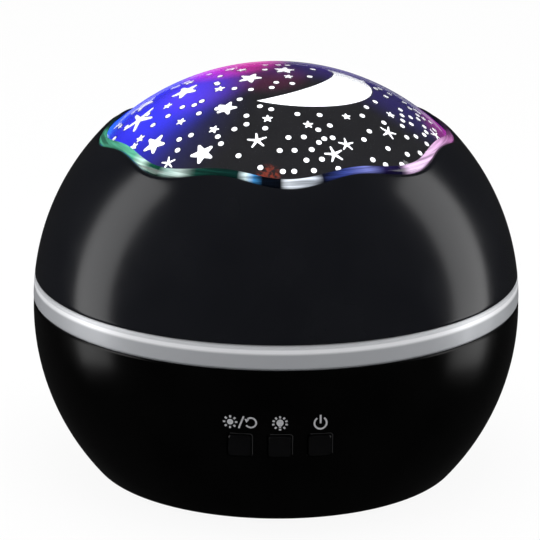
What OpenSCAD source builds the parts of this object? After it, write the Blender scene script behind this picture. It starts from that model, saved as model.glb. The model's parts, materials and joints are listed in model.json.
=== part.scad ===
// Star night light: a black base and a black cover make a globe, with a silver band between
// them. A clear dome fills the cover's wavy opening. Under it, a dome printed with a night sky
// turns around four LEDs, on a turntable that a small gear motor drives.
// +Z is up, -Y is the front, and the origin is on the table below the middle of the globe.

/* [Globe] */
// Diameter of the globes that the base and the cover are cut from
globe_d = 130; // [129:0.5:133]
// Depth of the base, from the middle of its globe down to its flat floor
base_depth = 43.5; // [43:0.25:45]
// How much higher the middle of the cover's globe lies
cover_rise = 2; // [1.5:0.25:3]
// Wall of the base
base_wall = 2.2; // [1.8:0.1:2.4]
// Wall of the cover
cover_wall = 2; // [1.6:0.1:2.2]
// Round along the base's bottom edge
edge_round = 3; // [1:0.5:4]
// Height of the feet below the base's floor
foot_h = 1.2; // [0.8:0.1:2]
// Diameter of a foot
foot_d = 10; // [8:0.5:11]

/* [Silver band] */
// Height of the band's lower edge above the middle of the base's globe
band_rise = 2.8; // [2:0.1:4]
// Height of the band
band_h = 6.8; // [6:0.1:7.5]
// Height and depth of the shadow groove along the band's lower edge
band_groove = 0.6; // [0.3:0.1:1]
// Bevel of the band's upper edge
band_bevel = 0.4; // [0.2:0.1:0.8]

/* [Domes and wavy rim] */
// Angle of the wavy rim from the top of the globe, on average
rim_angle = 47.3; // [46:0.1:48]
// Number of waves round the rim
waves = 8; // [6:1:10]
// Height of a wave above and below the average, as an angle
wave_angle = 1.15; // [0.6:0.05:1.3]
// Direction of the lowest point of one wave, from +X
wave_turn = 3; // [0:1:45]
// Width of the bead along the rim
bead_w = 2.8; // [2:0.1:3.4]
// How far the bead lies below the cover's surface
bead_sink = 0.5; // [0.3:0.1:0.8]
// Wall of the clear dome
clear_wall = 1; // [0.8:0.1:1.2]
// How much lower the middle of the domes lies than the middle of the cover's globe
dome_drop = 1.25; // [1:0.05:1.5]
// How far the clear dome runs under the cover, as an angle
lap_angle = 4.7; // [4:0.1:5]
// Wall that the cover keeps over that lap
lap_wall = 1.2; // [1:0.1:1.3]
// Gap between the clear dome and the star dome
dome_gap = 0.45; // [0.3:0.05:0.6]
// Wall of the star dome
star_wall = 1; // [0.8:0.1:1.4]
// Gap between the turntable and the deck's collar
collar_gap = 1.4; // [1:0.1:2]
// Thickness of the printed skin
film_t = 0.2; // [0.1:0.05:0.3]
// Angle from the top at which the printed skin ends
film_angle = 60; // [56:0.5:62]

/* [Buttons] */
// Width of a button
button_w = 5.9; // [5:0.1:6.5]
// Height of a button
button_h = 6.2; // [5:0.1:6.6]
// Distance between neighbouring buttons
button_pitch = 10.2; // [9.8:0.05:11.2]
// How far the buttons lie below the middle of the base's globe
button_drop = 18; // [17.2:0.1:21]
// How far a button stands out of the base
button_proud = 0.9; // [0.6:0.1:1.2]
// Gap between a button and its window
button_gap = 0.2; // [0.15:0.05:0.3]
// Travel of a button
button_travel = 0.5; // [0.3:0.1:0.8]
// Length of the stem behind a button's flange
stem_l = 4.3; // [3.5:0.1:5]

/* [Battery box] */
// Diameter of a cell
cell_d = 10.5; // [10:0.1:10.5]
// Length of a cell
cell_l = 44.5; // [43:0.5:45]
// Number of cells
cells = 4; // [3:1:4]
// Room for the spring at a cell's end
spring_l = 6.2; // [5:0.1:7]
// Thickness of the bottom cover
plate_t = 2; // [1.9:0.1:2.4]
// Thickness of the battery door
door_t = 1.8; // [1.6:0.1:1.9]
// Wall of the battery box
box_wall = 1.5; // [1.2:0.1:1.8]

/* [Drive] */
// Size of the gear teeth, as pitch diameter over number of teeth
gear_module = 1; // [0.98:0.01:1]
// Teeth on the motor's pinion
pinion_teeth = 12; // [12:1:14]
// Teeth on the turntable's inside ring
ring_teeth = 90; // [88:1:91]
// Height of the gear teeth
tooth_h = 4; // [3:0.1:4.2]
// Slack between the teeth at the pitch line
backlash = 0.2; // [0.15:0.05:0.3]
// Diameter of the motor's shaft
shaft_d = 3; // [2:0.1:3.4]
// Diameter of the motor's gear case
gearcase_d = 28; // [24:0.5:30]
// Height of the gear case
gearcase_h = 9; // [7:0.5:10]
// Diameter of the motor can
can_d = 24; // [20:0.5:24]
// Height of the motor can
can_h = 10; // [8:0.5:11]
// Outer radius of the tower that the turntable turns on
tower_r = 12; // [11.5:0.1:12.5]
// Height of the tower above the deck
tower_h = 9.3; // [9:0.1:10]

/* [Fasteners and fits] */
// Diameter of the case screws
screw_d = 2.2; // [2:0.1:2.4]
// Diameter of the small screws in boards and motor
small_screw_d = 1.6; // [1.4:0.1:1.8]
// Diameter of the screw posts
post_d = 7.5; // [7:0.1:8]
// Gap around pieces that lie in a recess or over a collar
fit = 0.25; // [0.2:0.05:0.3]
// Radial gap of what turns in a bore
running_fit = 0.05; // [0.03:0.01:0.08]

/* [Hidden] */
$fn = 96;

black_plastic = "#101114";
dark_plastic = "#26272b";
white_plastic = "#e9e9e6";
clear_plastic = [0.85, 0.9, 0.95, 0.35];
rubber = "#3a3a3c";
steel = "#b8bcc2";
brass = "#c9a24a";
board_green = "#1f6b43";
red_wire = "#c0282d";
dark_wire = "#1b1b1d";

// Globe
globe_r = globe_d / 2;
floor_z = foot_h;
low_z = floor_z + base_depth;
high_z = low_z + cover_rise;
band_z = low_z + band_rise;
band_top = band_z + band_h;
base_in = globe_r - base_wall;
cover_in = globe_r - cover_wall;
floor_r = sqrt(pow(globe_r, 2) - pow(base_depth, 2));

// Bottom opening of the base, with a lip that the bottom cover is screwed against
rim_w = 3.8;
lip_w = 1.7;
lip_t = 1.6;
opening_r = floor_r - rim_w;
plate_top = floor_z + plate_t;
lip_top = plate_top + lip_t;
foot_edge = 3.5;
foot_ring = opening_r - foot_edge - foot_d / 2;
foot_sink = 0.8;
post_edge = 0.45;
base_screw_ring = opening_r - lip_w - post_edge - post_d / 2;
base_screw_l = 10;
base_screw_turns = [60, 120, 240, 300];
base_post_h = 15;
wall_gap = 0.1;
rib_t = 1.8;
rib_z = lip_top + wall_gap;
rib_top = 16.2;
pilot_play = 0.1;
pilot_h = 12;

// Deck, collar and tower
deck_t = 2;
deck_seat = 0.5;
deck_z = band_z - deck_seat;
deck_top = deck_z + deck_t;
deck_r = base_in - 0.4;
band_in = deck_r + 0.1;
deck_screw_in = 10.8;
deck_screw_ring = base_in - deck_screw_in;
deck_screw_turns = [30, 150, 210, 330];
collar_t = 1.4;
collar_rise = 3.4;
collar_top = band_top + collar_rise;
collar_out = sqrt(pow(cover_in, 2) - pow(collar_top - high_z, 2)) - 0.6;
collar_in = collar_out - collar_t;
tower_wall = 4;
tower_top = deck_top + tower_h;
thrust_h = 0.6;
thrust_w = 3;

// Domes. The lap ends where the clear dome's edge lies a glue gap below the cover.
glue_gap = 0.13;
lap_end = rim_angle + lap_angle;
lap_r = globe_r - lap_wall - glue_gap;
dome_z = high_z - dome_drop;
clear_r = sqrt(pow(lap_r, 2) + 2 * lap_r * dome_drop * cos(lap_end) + pow(dome_drop, 2));
film_r = clear_r - clear_wall - dome_gap;
skin_gap = 0.1;
star_r = film_r - film_t - skin_gap;
bead_gap = 0.05;

// Turntable
hub_wall = 2.6;
hub_in = tower_r + running_fit;
hub_out = hub_in + hub_wall;
hub_z = deck_top + thrust_h;
gear_z = deck_top + 0.9;
disc_z = gear_z + tooth_h;
disc_t = 1.8;
disc_top = disc_z + disc_t;
disc_r = collar_in - collar_gap;
disc_edge = 0.6;
skirt_r = disc_r - disc_edge;
hub_top = tower_top - 0.3;
rim_lip_out = skirt_r - star_wall - 0.1;
rim_lip_w = 1.2;
rim_lip_h = 4;

// Gears
pressure_angle = 20;
ring_pitch_r = ring_teeth * gear_module / 2;
pinion_pitch_r = pinion_teeth * gear_module / 2;
ring_tip_r = ring_pitch_r - 0.6 * gear_module;
ring_root_r = ring_pitch_r + 1.15 * gear_module;
ring_out = ring_root_r + 2;
pinion_tip_r = pinion_pitch_r + 0.9 * gear_module;
pinion_root_r = pinion_pitch_r - gear_module;
mesh_turn = 90;
motor_y = ring_pitch_r - pinion_pitch_r;
motor_bush_r = shaft_d / 2 + 1.5;
motor_bush_h = 1.5;
shaft_sink = 6;
ear_x = gearcase_d / 2 + 3.5;
ear_t = 2;
ear_w = 6;
motor_bottom = deck_z - gearcase_h - can_h;

// LEDs stand on a small round board on the tower
led_board_r = tower_r + 2;
led_board_t = 1.2;
led_top = tower_top + led_board_t;
led_d = 5;
led_step = 3.6;
leg_pitch = 2.54;
leg_r = 0.25;
led_screw_x = tower_r - tower_wall / 2;

// Buttons slide in windows through a pad inside the base's wall
button_z = low_z - button_drop;
button_xs = [-button_pitch, 0, button_pitch];
pad_t = 4.9;
pad_y = sqrt(pow(base_in, 2) - pow(button_drop, 2)) - pad_t;
pad_edge = 5;
flange_t = 1.2;
flange_edge = 1.3;
stem_d = 3.5;
switch_w = 6;
switch_h = 3.5;
plunger_d = 3.5;
plunger_out = 1.5;
plunger_in = 1.2;
button_board_y = pad_y - flange_t - stem_l - plunger_out - switch_h;
board_t = 1.6;
board_w = 40;
board_h = 25;
board_back = button_board_y - board_t;
board_z = button_z - board_h / 2;
board_boss_d = 5;
board_boss_x = 17;
board_boss_zs = [board_z + 3, board_z + board_h - 3];

// Battery box, part of the bottom cover
cell_pitch = cell_d + 0.5;
contact_t = 0.4;
box_l = cell_l + spring_l + 2 * contact_t;
box_w = (cells - 1) * cell_pitch + cell_d + 1.5;
cell_z = floor_z + door_t + 0.4 + cell_d / 2;
box_roof = cell_z + cell_d / 2 + 0.3;
box_top = box_roof + box_wall;
cell_ys = [for (i = [0 : cells - 1]) (i - (cells - 1) / 2) * cell_pitch];
hinge_r = 1.6;
hinge_reach = 3;
hinge_y = box_w / 2 + hinge_reach;
hinge_z = floor_z + hinge_r;
hinge_x = 15;
knuckle_l = 4;
pin_r = 0.8;
pin_l = 2.5;
ear_l = 3;
hinge_gap = 0.3;
door_edge_y = hinge_y - norm([hinge_reach, hinge_r]) - fit;
tongue_w = 10;
tongue_l = 6.4;
latch_y = -box_w / 2 - 3.9;
latch_boss_d = 7;
latch_boss_top = box_roof - 5;
door_screw_l = 4;
door_screw_play = 0.3;
tab_w = 4;
tab_up = 2.4;

// Charging socket, in a well in the back of the base
usb_drop = 29.7;
usb_z = low_z - usb_drop;
well_w = 12.4;
well_h = 8.4;
well_depth = 6.8;
well_wall = 1.5;
well_y = sqrt(pow(globe_r, 2) - pow(usb_drop, 2)) - well_depth;
socket_w = 7.5;
socket_h = 2.6;
socket_l = 5.6;
socket_wall = 0.3;
usb_board_w = 18;
usb_board_l = 14.4;
usb_board_t = 1.2;
usb_board_top = usb_z - socket_h / 2;
usb_board_front = well_y - well_wall - usb_board_l - 0.1;
usb_post_d = 5;
usb_post_x = 6;
usb_post_y = usb_board_front + 3.5;

// Wire routes: from a piece's terminal to the connectors on the back of the button board
wire_r = 0.6;
wire_gap = 1.6;
plug_x = [-11.5, -4, 4, 11.5];
plug_drop = 5.9;
plug_z = board_z + board_h - plug_drop;
plug_w = 6;
plug_l = 5;
plug_h = 6;
wire_end_gap = 0.1;
wire_end_y = plug_l - board_back + wire_end_gap;
led_route = [[0, -6.3, tower_top - wire_end_gap], [0, -6.3, deck_top + 1], [-1, -7, deck_z - 4],
  [-7, -16, plug_z + 4.5], [plug_x[0], -28, plug_z + 0.5], [plug_x[0], wire_end_y, plug_z]];
motor_route = [[plug_x[1], motor_y - 5, motor_bottom - wire_end_gap], [plug_x[1], motor_y - 6, motor_bottom - 4],
  [plug_x[1], motor_y - 17, box_top + 4.8], [plug_x[1], 0, box_top + 3.3], [plug_x[1], -22, box_top + 7.3],
  [plug_x[1], -30, plug_z - 1], [plug_x[1], wire_end_y, plug_z]];
usb_route = [[0.5, usb_board_front + 1.6, usb_board_top + wire_end_gap],
  [0.8, usb_board_front - 1.4, usb_board_top + 4.3], [2.5, 26, box_top + 4.8], [plug_x[2], 0, box_top + 4.3],
  [plug_x[2], -22, box_top + 8.3], [plug_x[2], -30, plug_z - 1], [plug_x[2], wire_end_y, plug_z]];
red_route = [[0, 0, wire_end_gap], [0, -2, 3], [-1.5, -16, 5], [-6.5, -36, 9]];
dark_route = [[0, 0, wire_end_gap], [-1.5, -2.5, 3], [-9, -10.5, 7]];

// A rectangle with round corners, about its middle
module rounded(w, h, r) {
  square([w - 2 * r, h], center = true);
  square([w, h - 2 * r], center = true);
  for (x = [-1, 1], y = [-1, 1]) {
    translate([x * (w / 2 - r), y * (h / 2 - r)]) circle(r, $fn = 32);
  }
}

// Everything within an angle from the top, seen from the origin of the profile
module wedge(angle) {
  far = 3 * globe_r;
  polygon([[0, 0], [far * sin(angle), far * cos(angle)], [0, far]]);
}

// The space inside the base
module within_base() {
  intersection() {
    union() children();
    translate([0, 0, low_z]) sphere(base_in - wall_gap, $fn = 180);
  }
}

module at_turns(ring, turns) {
  for (turn = turns) rotate([0, 0, turn]) translate([ring, 0, 0]) children();
}

// A pan head screw that points down, with its head on z = 0
module pan_screw(d, l) {
  difference() {
    cylinder(d = 2 * d, h = 0.7 * d, $fn = 32);
    for (turn = [0, 90]) rotate([0, 0, turn]) {
      translate([-0.7 * d, -0.15 * d, 0.35 * d]) cube([1.4 * d, 0.3 * d, d]);
    }
  }
  translate([0, 0, -l]) cylinder(d = d, h = l + 0.01, $fn = 32);
}

// A countersunk screw that points up, with its head's face on z = 0
module flush_screw(d, l) {
  difference() {
    cylinder(r1 = d, r2 = d / 2, h = d / 2, $fn = 32);
    for (turn = [0, 90]) rotate([0, 0, turn]) {
      translate([-0.7 * d, -0.15 * d, -d]) cube([1.4 * d, 0.3 * d, d + 0.3 * d]);
    }
  }
  cylinder(d = d, h = l, $fn = 32);
}

// The hole for a countersunk screw, through a plate of thickness t above z = 0
module flush_hole(d, t) {
  r = d / 2 + pilot_play;
  translate([0, 0, -0.01]) cylinder(r1 = d + pilot_play, r2 = r, h = d / 2 + pilot_play, $fn = 32);
  translate([0, 0, -1]) cylinder(r = r, h = t + 2, $fn = 32);
}

function unit(v) = v / norm(v);
function along(p, i) = unit(p[min(i + 1, len(p) - 1)] - p[max(i - 1, 0)]);
function ring_at(p, i, r, n) = let(
  ahead = along(p, i),
  side = unit(cross(ahead, [1, 0, 0])),
  up = cross(ahead, side)
) [for (k = [0 : n - 1]) p[i] + r * (cos(360 * k / n) * side + sin(360 * k / n) * up)];

// Points between p[i] and p[i + 1] on a smooth curve through all the points
function smooth_step(p, i, t) = let(
  a = p[max(i - 1, 0)],
  b = p[i],
  c = p[i + 1],
  d = p[min(i + 2, len(p) - 1)]
) (2 * b + (c - a) * t + (2 * a - 5 * b + 4 * c - d) * t * t + (3 * b - a - 3 * c + d) * t * t * t) / 2;
function smoothed(p, n) = [
  for (i = [0 : len(p) - 2]) for (k = [0 : n - 1]) smooth_step(p, i, k / n),
  p[len(p) - 1]
];

// A round tube along the points of p
module tube(p, r, n = 8) {
  rings = len(p);
  polyhedron(
    points = [for (i = [0 : rings - 1]) each ring_at(p, i, r, n)],
    faces = concat(
      [[for (k = [0 : n - 1]) k]],
      [[for (k = [n - 1 : -1 : 0]) (rings - 1) * n + k]],
      [for (i = [0 : rings - 2], k = [0 : n - 1]) let(a = i * n + k, b = i * n + (k + 1) % n)
        each [[a, a + n, b + n], [a, b + n, b]]]
    )
  );
}

module wire(route, shift, paint) {
  color(paint) tube([for (p = smoothed(route, 4)) p + shift], wire_r);
}

module wire_pair(route) {
  wire(route, [-wire_gap / 2, 0, 0], red_wire);
  wire(route, [wire_gap / 2, 0, 0], dark_wire);
}

// The angle that a length spans along the cover
function as_angle(length) = length / globe_r * 180 / PI;

// The cone from the cover's middle through the wavy rim, drawn in by so many mm
module wave_cone(inset) {
  n = 12 * waves;
  far = 1.3 * globe_r;
  rim = [for (i = [0 : n - 1]) let(
    turn = 360 * i / n,
    angle = rim_angle + wave_angle * cos(waves * (turn - wave_turn)) - as_angle(inset)
  ) far * [sin(angle) * cos(turn), sin(angle) * sin(turn), cos(angle)]];
  translate([0, 0, high_z]) polyhedron(
    points = concat([[0, 0, 0], [0, 0, far]], rim),
    faces = [for (i = [0 : n - 1]) let(a = i + 2, b = (i + 1) % n + 2) each [[0, a, b], [1, b, a]]]
  );
}

// Half the angle of an involute tooth at radius r, for a tooth that is thicker by slack
function involute(r, base_r) = let(c = base_r / max(r, base_r)) tan(acos(c)) * 180 / PI - acos(c);
function half_tooth(r, teeth, slack) = let(pitch_r = teeth * gear_module / 2)
  90 / teeth + slack / 2 / pitch_r * 180 / PI
  + involute(pitch_r, pitch_r * cos(pressure_angle)) - involute(r, pitch_r * cos(pressure_angle));
function gear_outline(teeth, root_r, tip_r, slack, steps) = [
  for (i = [0 : teeth - 1], k = [0 : 2 * steps + 1]) let(
    rising = k <= steps,
    r = root_r + (tip_r - root_r) * (rising ? k : 2 * steps + 1 - k) / steps,
    turn = mesh_turn + 360 * i / teeth + (rising ? -1 : 1) * half_tooth(r, teeth, slack)
  ) r * [cos(turn), sin(turn)]
];

// The corner outside the round along the base's bottom edge
module edge_corner() {
  mid_z = floor_z + edge_round;
  mid_r = sqrt(pow(globe_r - edge_round, 2) - pow(low_z - mid_z, 2));
  last = atan2(mid_z - low_z, mid_r);
  difference() {
    polygon([
      [mid_r, floor_z - 1],
      [mid_r, mid_z],
      [mid_r, mid_z] + (edge_round + 2) * [cos(last), sin(last)],
      [mid_r + 2 * edge_round + 2, floor_z - 1]
    ]);
    translate([mid_r, mid_z]) circle(edge_round);
  }
}

module base_profile() {
  difference() {
    intersection() {
      translate([0, low_z]) circle(globe_r);
      translate([0, floor_z]) square([globe_r + 1, band_z - floor_z]);
    }
    intersection() {
      translate([0, low_z]) circle(base_in);
      translate([0, lip_top]) square([globe_r + 1, globe_r]);
    }
    translate([0, floor_z - 1]) square([opening_r, plate_t + 1]);
    translate([0, floor_z]) square([opening_r - lip_w, plate_t + lip_t + 1]);
    edge_corner();
  }
}

module button_prism(w, h, r, length) {
  rotate([90, 0, 0]) linear_extrude(length) rounded(w, h, r);
}

module button_windows() {
  for (x = button_xs) translate([x, 0, button_z]) {
    button_prism(button_w + 2 * button_gap, button_h + 2 * button_gap, 1, 2 * globe_r);
  }
}

// A block round the middle of the charging socket, from y outwards
module socket_block(w, h, y) {
  translate([-w / 2, y, usb_z - h / 2]) cube([w, globe_r, h]);
}

module base_shell() {
  color(black_plastic) difference() {
    rotate_extrude($fn = 180) base_profile();
    button_windows();
    socket_block(well_w, well_h, well_y);
  }
}

// Posts inside the base: those of the base's screws stand on the bottom cover, with a rib to
// the wall, and those of the deck's screws carry the deck
module screw_posts() {
  pilot_d = screw_d + 2 * pilot_play;
  color(black_plastic) difference() {
    within_base() {
      at_turns(base_screw_ring, base_screw_turns) {
        translate([0, 0, plate_top]) cylinder(d = post_d, h = base_post_h, $fn = 48);
        translate([0, -rib_t / 2, rib_z]) cube([globe_r - base_screw_ring, rib_t, rib_top - rib_z]);
      }
      at_turns(deck_screw_ring, deck_screw_turns) {
        translate([0, 0, rib_z]) cylinder(d = post_d, h = deck_z - rib_z, $fn = 48);
      }
    }
    at_turns(base_screw_ring, base_screw_turns) {
      translate([0, 0, plate_top - 1]) cylinder(d = pilot_d, h = pilot_h + 1, $fn = 32);
    }
    at_turns(deck_screw_ring, deck_screw_turns) {
      translate([0, 0, deck_z - pilot_h]) cylinder(d = pilot_d, h = pilot_h + 1, $fn = 32);
    }
  }
}

// The block behind the button windows, with bosses for the button board
module button_guide() {
  color(black_plastic) difference() {
    within_base() {
      translate([0, -pad_y, button_z]) {
        button_prism(2 * button_pitch + button_w + 2 * pad_edge, button_h + 2 * pad_edge, 2, globe_r);
      }
      for (x = [-board_boss_x, board_boss_x], z = board_boss_zs) {
        translate([x, -button_board_y, z]) rotate([90, 0, 0]) {
          cylinder(d = board_boss_d, h = globe_r, $fn = 32);
        }
      }
    }
    button_windows();
    for (x = [-board_boss_x, board_boss_x], z = board_boss_zs) {
      translate([x, -button_board_y + 1, z]) rotate([90, 0, 0]) {
        cylinder(d = small_screw_d + 2 * pilot_play, h = 6, $fn = 32);
      }
    }
  }
}

// The well that the charging plug goes into
module usb_well() {
  color(black_plastic) difference() {
    within_base() socket_block(well_w + 2 * well_wall, well_h + 2 * well_wall, well_y - well_wall);
    socket_block(well_w, well_h, well_y);
    socket_block(socket_w + 2 * fit, socket_h + 2 * fit, well_y - 2 * well_wall);
  }
}

module bottom_cover() {
  color(dark_plastic) difference() {
    union() {
      translate([0, 0, floor_z]) cylinder(r = opening_r - fit, h = plate_t);
      translate([-box_l / 2 - box_wall, -box_w / 2 - box_wall, floor_z]) {
        cube([box_l + 2 * box_wall, box_w + 2 * box_wall, box_top - floor_z]);
      }
      translate([0, latch_y, floor_z]) cylinder(d = latch_boss_d, h = latch_boss_top - floor_z, $fn = 48);
      for (x = [-usb_post_x, usb_post_x]) translate([x, usb_post_y, floor_z]) {
        cylinder(d = usb_post_d, h = usb_board_top - usb_board_t - floor_z, $fn = 32);
      }
      for (side = [-1, 1]) translate([side * (hinge_x + knuckle_l / 2 + hinge_gap + ear_l / 2), hinge_y, 0]) {
        translate([-ear_l / 2, -hinge_r - 1, floor_z]) cube([ear_l, 2 * hinge_r + 2, 2 * hinge_r + 1]);
      }
    }
    translate([-box_l / 2, -box_w / 2, floor_z - 1]) cube([box_l, box_w, box_roof - floor_z + 1]);
    translate([-tongue_w / 2 - fit, latch_y - tongue_l / 2, floor_z - 1]) {
      cube([tongue_w + 2 * fit, tongue_l + 1, plate_t + 1]);
    }
    translate([0, latch_y, floor_z]) {
      cylinder(r = screw_d / 2 + door_screw_play, h = door_screw_l + 2, $fn = 32);
    }
    for (side = [-1, 1]) translate([side * hinge_x, hinge_y, hinge_z]) {
      rotate([0, 90, 0]) {
        cylinder(r = hinge_r + hinge_gap, h = knuckle_l + 2 * hinge_gap, center = true, $fn = 48);
      }
      rotate([0, side * 90, 0]) {
        cylinder(r = pin_r + running_fit, h = knuckle_l / 2 + pin_l + hinge_gap, $fn = 32);
      }
      translate([-knuckle_l / 2 - hinge_gap, -hinge_reach - 1, -hinge_r - 1]) {
        cube([knuckle_l + 2 * hinge_gap, hinge_reach + hinge_r + hinge_gap + 1, hinge_r + 1]);
        cube([knuckle_l + 2 * hinge_gap, hinge_reach + 1, 2 * hinge_r + hinge_gap + 1]);
      }
    }
    at_turns(base_screw_ring, base_screw_turns) translate([0, 0, floor_z]) flush_hole(screw_d, plate_t);
    at_turns(foot_ring, [0, 90, 180, 270]) {
      translate([0, 0, floor_z - 1]) cylinder(d = foot_d + 2 * fit, h = foot_sink + 1, $fn = 48);
    }
    for (x = [-usb_post_x, usb_post_x]) translate([x, usb_post_y, plate_top]) {
      cylinder(d = small_screw_d + 2 * pilot_play, h = usb_board_top, $fn = 32);
    }
    for (y = [cell_ys[0], cell_ys[cells - 1]]) {
      translate([box_l / 2 - contact_t - fit, y - tab_w / 2 - fit, box_roof - 1]) {
        cube([contact_t + fit, tab_w + 2 * fit, box_wall + 2]);
      }
    }
  }
}

module rubber_feet() {
  color(rubber) at_turns(foot_ring, [0, 90, 180, 270]) cylinder(d = foot_d, h = floor_z + foot_sink, $fn = 48);
}

module base_screws() {
  color(steel) at_turns(base_screw_ring, base_screw_turns) translate([0, 0, floor_z]) flush_screw(screw_d, base_screw_l);
}

module cell() {
  nub = 1;
  rotate([0, 90, 0]) {
    cylinder(d = cell_d, h = cell_l - nub, $fn = 48);
    cylinder(d = 3.8, h = cell_l, $fn = 32);
  }
}

// Every second cell points the other way, so that they are in series
module each_cell() {
  for (i = [0 : cells - 1]) translate([0, cell_ys[i], cell_z]) {
    mirror([i % 2, 0, 0]) children();
  }
}

module batteries() {
  color(brass) each_cell() translate([box_l / 2 - contact_t - cell_l, 0, 0]) cell();
}

module battery_springs() {
  turns = 3;
  spring_r = 3;
  spring_wire = 0.3;
  start = -box_l / 2 + contact_t + spring_wire + 0.02;
  length = spring_l - 2 * spring_wire - 0.04;
  path = [for (i = [0 : 12 * turns]) let(a = 30 * i)
    [start + length * i / 12 / turns, spring_r * cos(a), spring_r * sin(a)]];
  color(steel) each_cell() tube(path, spring_wire, 6);
}

module battery_contacts() {
  w = 8.6;
  h = 9;
  color(steel) {
    for (side = [-1, 1], y = cell_ys) {
      translate([side * (box_l - contact_t) / 2, y, cell_z]) cube([contact_t, w, h], center = true);
    }
    for (y = [cell_ys[0], cell_ys[cells - 1]]) {
      translate([box_l / 2 - contact_t, y - tab_w / 2, cell_z]) cube([contact_t, tab_w, box_top + tab_up - cell_z]);
    }
  }
}

module battery_door() {
  near_y = -box_w / 2 + fit;
  color(dark_plastic) difference() {
    union() {
      translate([-box_l / 2 + fit, near_y, floor_z]) cube([box_l - 2 * fit, door_edge_y - near_y, door_t]);
      translate([-tongue_w / 2, latch_y - tongue_l / 2 + fit, floor_z]) {
        cube([tongue_w, -latch_y - box_w / 2 + tongue_l / 2 + 1, door_t]);
      }
      for (side = [-1, 1]) translate([side * hinge_x, hinge_y, hinge_z]) {
        translate([-knuckle_l / 2, door_edge_y - hinge_y - 1, -hinge_r]) {
          cube([knuckle_l, hinge_y - door_edge_y + 1, door_t]);
        }
        rotate([0, 90, 0]) cylinder(r = hinge_r, h = knuckle_l, center = true, $fn = 48);
        rotate([0, side * 90, 0]) cylinder(r = pin_r, h = knuckle_l / 2 + pin_l, $fn = 32);
      }
    }
    translate([0, latch_y, floor_z]) flush_hole(screw_d, door_t);
  }
}

module door_screw() {
  color(steel) translate([0, latch_y, floor_z]) flush_screw(screw_d, door_screw_l);
}

module silver_band() {
  low_r = sqrt(pow(globe_r, 2) - pow(band_rise, 2));
  top_r = sqrt(pow(globe_r, 2) - pow(band_top - high_z, 2));
  color(steel) rotate_extrude($fn = 180) polygon([
    [band_in, band_z],
    [low_r - band_groove, band_z],
    [low_r - band_groove, band_z + band_groove],
    [low_r, band_z + band_groove],
    [globe_r, (band_z + band_top) / 2],
    [top_r, band_top - band_bevel],
    [top_r - band_bevel, band_top],
    [band_in, band_top]
  ]);
}

module chassis_deck() {
  color(dark_plastic) difference() {
    rotate_extrude($fn = 180) polygon([
      [tower_r - tower_wall, deck_z],
      [deck_r, deck_z],
      [deck_r, deck_top],
      [collar_out, deck_top],
      [collar_out, collar_top],
      [collar_in, collar_top],
      [collar_in, deck_top],
      [tower_r + thrust_w, deck_top],
      [tower_r + thrust_w, hub_z],
      [tower_r, hub_z],
      [tower_r, tower_top],
      [tower_r - tower_wall, tower_top]
    ]);
    at_turns(deck_screw_ring, deck_screw_turns) {
      translate([0, 0, deck_z - 1]) cylinder(d = screw_d + 2 * pilot_play, h = deck_t + 2, $fn = 32);
    }
    translate([0, motor_y, deck_z - 1]) cylinder(r = motor_bush_r + fit, h = deck_t + 2, $fn = 48);
    for (side = [-1, 1]) translate([side * ear_x, motor_y, deck_top]) mirror([0, 0, 1]) {
      flush_hole(small_screw_d, deck_t);
    }
    for (side = [-1, 1]) translate([side * led_screw_x, 0, tower_top - 6]) {
      cylinder(d = small_screw_d + 2 * pilot_play, h = 7, $fn = 32);
    }
  }
}

module deck_screws() {
  color(steel) at_turns(deck_screw_ring, deck_screw_turns) translate([0, 0, deck_top]) pan_screw(screw_d, 9);
}

module upper_cover() {
  color(black_plastic) difference() {
    rotate_extrude($fn = 180) difference() {
      intersection() {
        translate([0, high_z]) circle(globe_r);
        translate([0, band_top]) square([globe_r + 1, globe_r]);
      }
      translate([0, high_z]) circle(cover_in);
      intersection() {
        translate([0, high_z]) circle(globe_r - lap_wall);
        translate([0, high_z]) wedge(lap_end + 1.5);
      }
    }
    wave_cone(0);
  }
}

// A shell of the domes, from the top down to an angle seen from a point above the profile's floor
module dome_profile(outer_r, wall, angle, from_z) {
  intersection() {
    translate([0, dome_z]) difference() {
      circle(outer_r);
      circle(outer_r - wall);
    }
    translate([0, from_z]) wedge(angle);
  }
}

module clear_dome() {
  color(clear_plastic) rotate_extrude($fn = 180) dome_profile(clear_r, clear_wall, lap_end, high_z);
}

module wave_trim() {
  color(clear_plastic) intersection() {
    rotate_extrude($fn = 180) difference() {
      translate([0, high_z]) intersection() {
        circle(globe_r - bead_sink);
        wedge(lap_end);
      }
      translate([0, dome_z]) circle(clear_r + bead_gap);
      translate([0, high_z]) wedge(rim_angle - wave_angle - 2 * as_angle(bead_w));
    }
    difference() {
      wave_cone(bead_gap);
      wave_cone(bead_w);
    }
  }
}

module star_dome() {
  color("#2a2440") rotate_extrude($fn = 180) difference() {
    intersection() {
      translate([0, dome_z]) circle(star_r);
      translate([0, disc_top]) square([skirt_r, globe_r]);
    }
    intersection() {
      translate([0, dome_z]) circle(star_r - star_wall);
      translate([0, disc_top - 1]) square([skirt_r - star_wall, globe_r]);
    }
  }
}

module star_film() {
  color("#1c1836") rotate_extrude($fn = 180) dome_profile(film_r, film_t, film_angle, dome_z);
}

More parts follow.
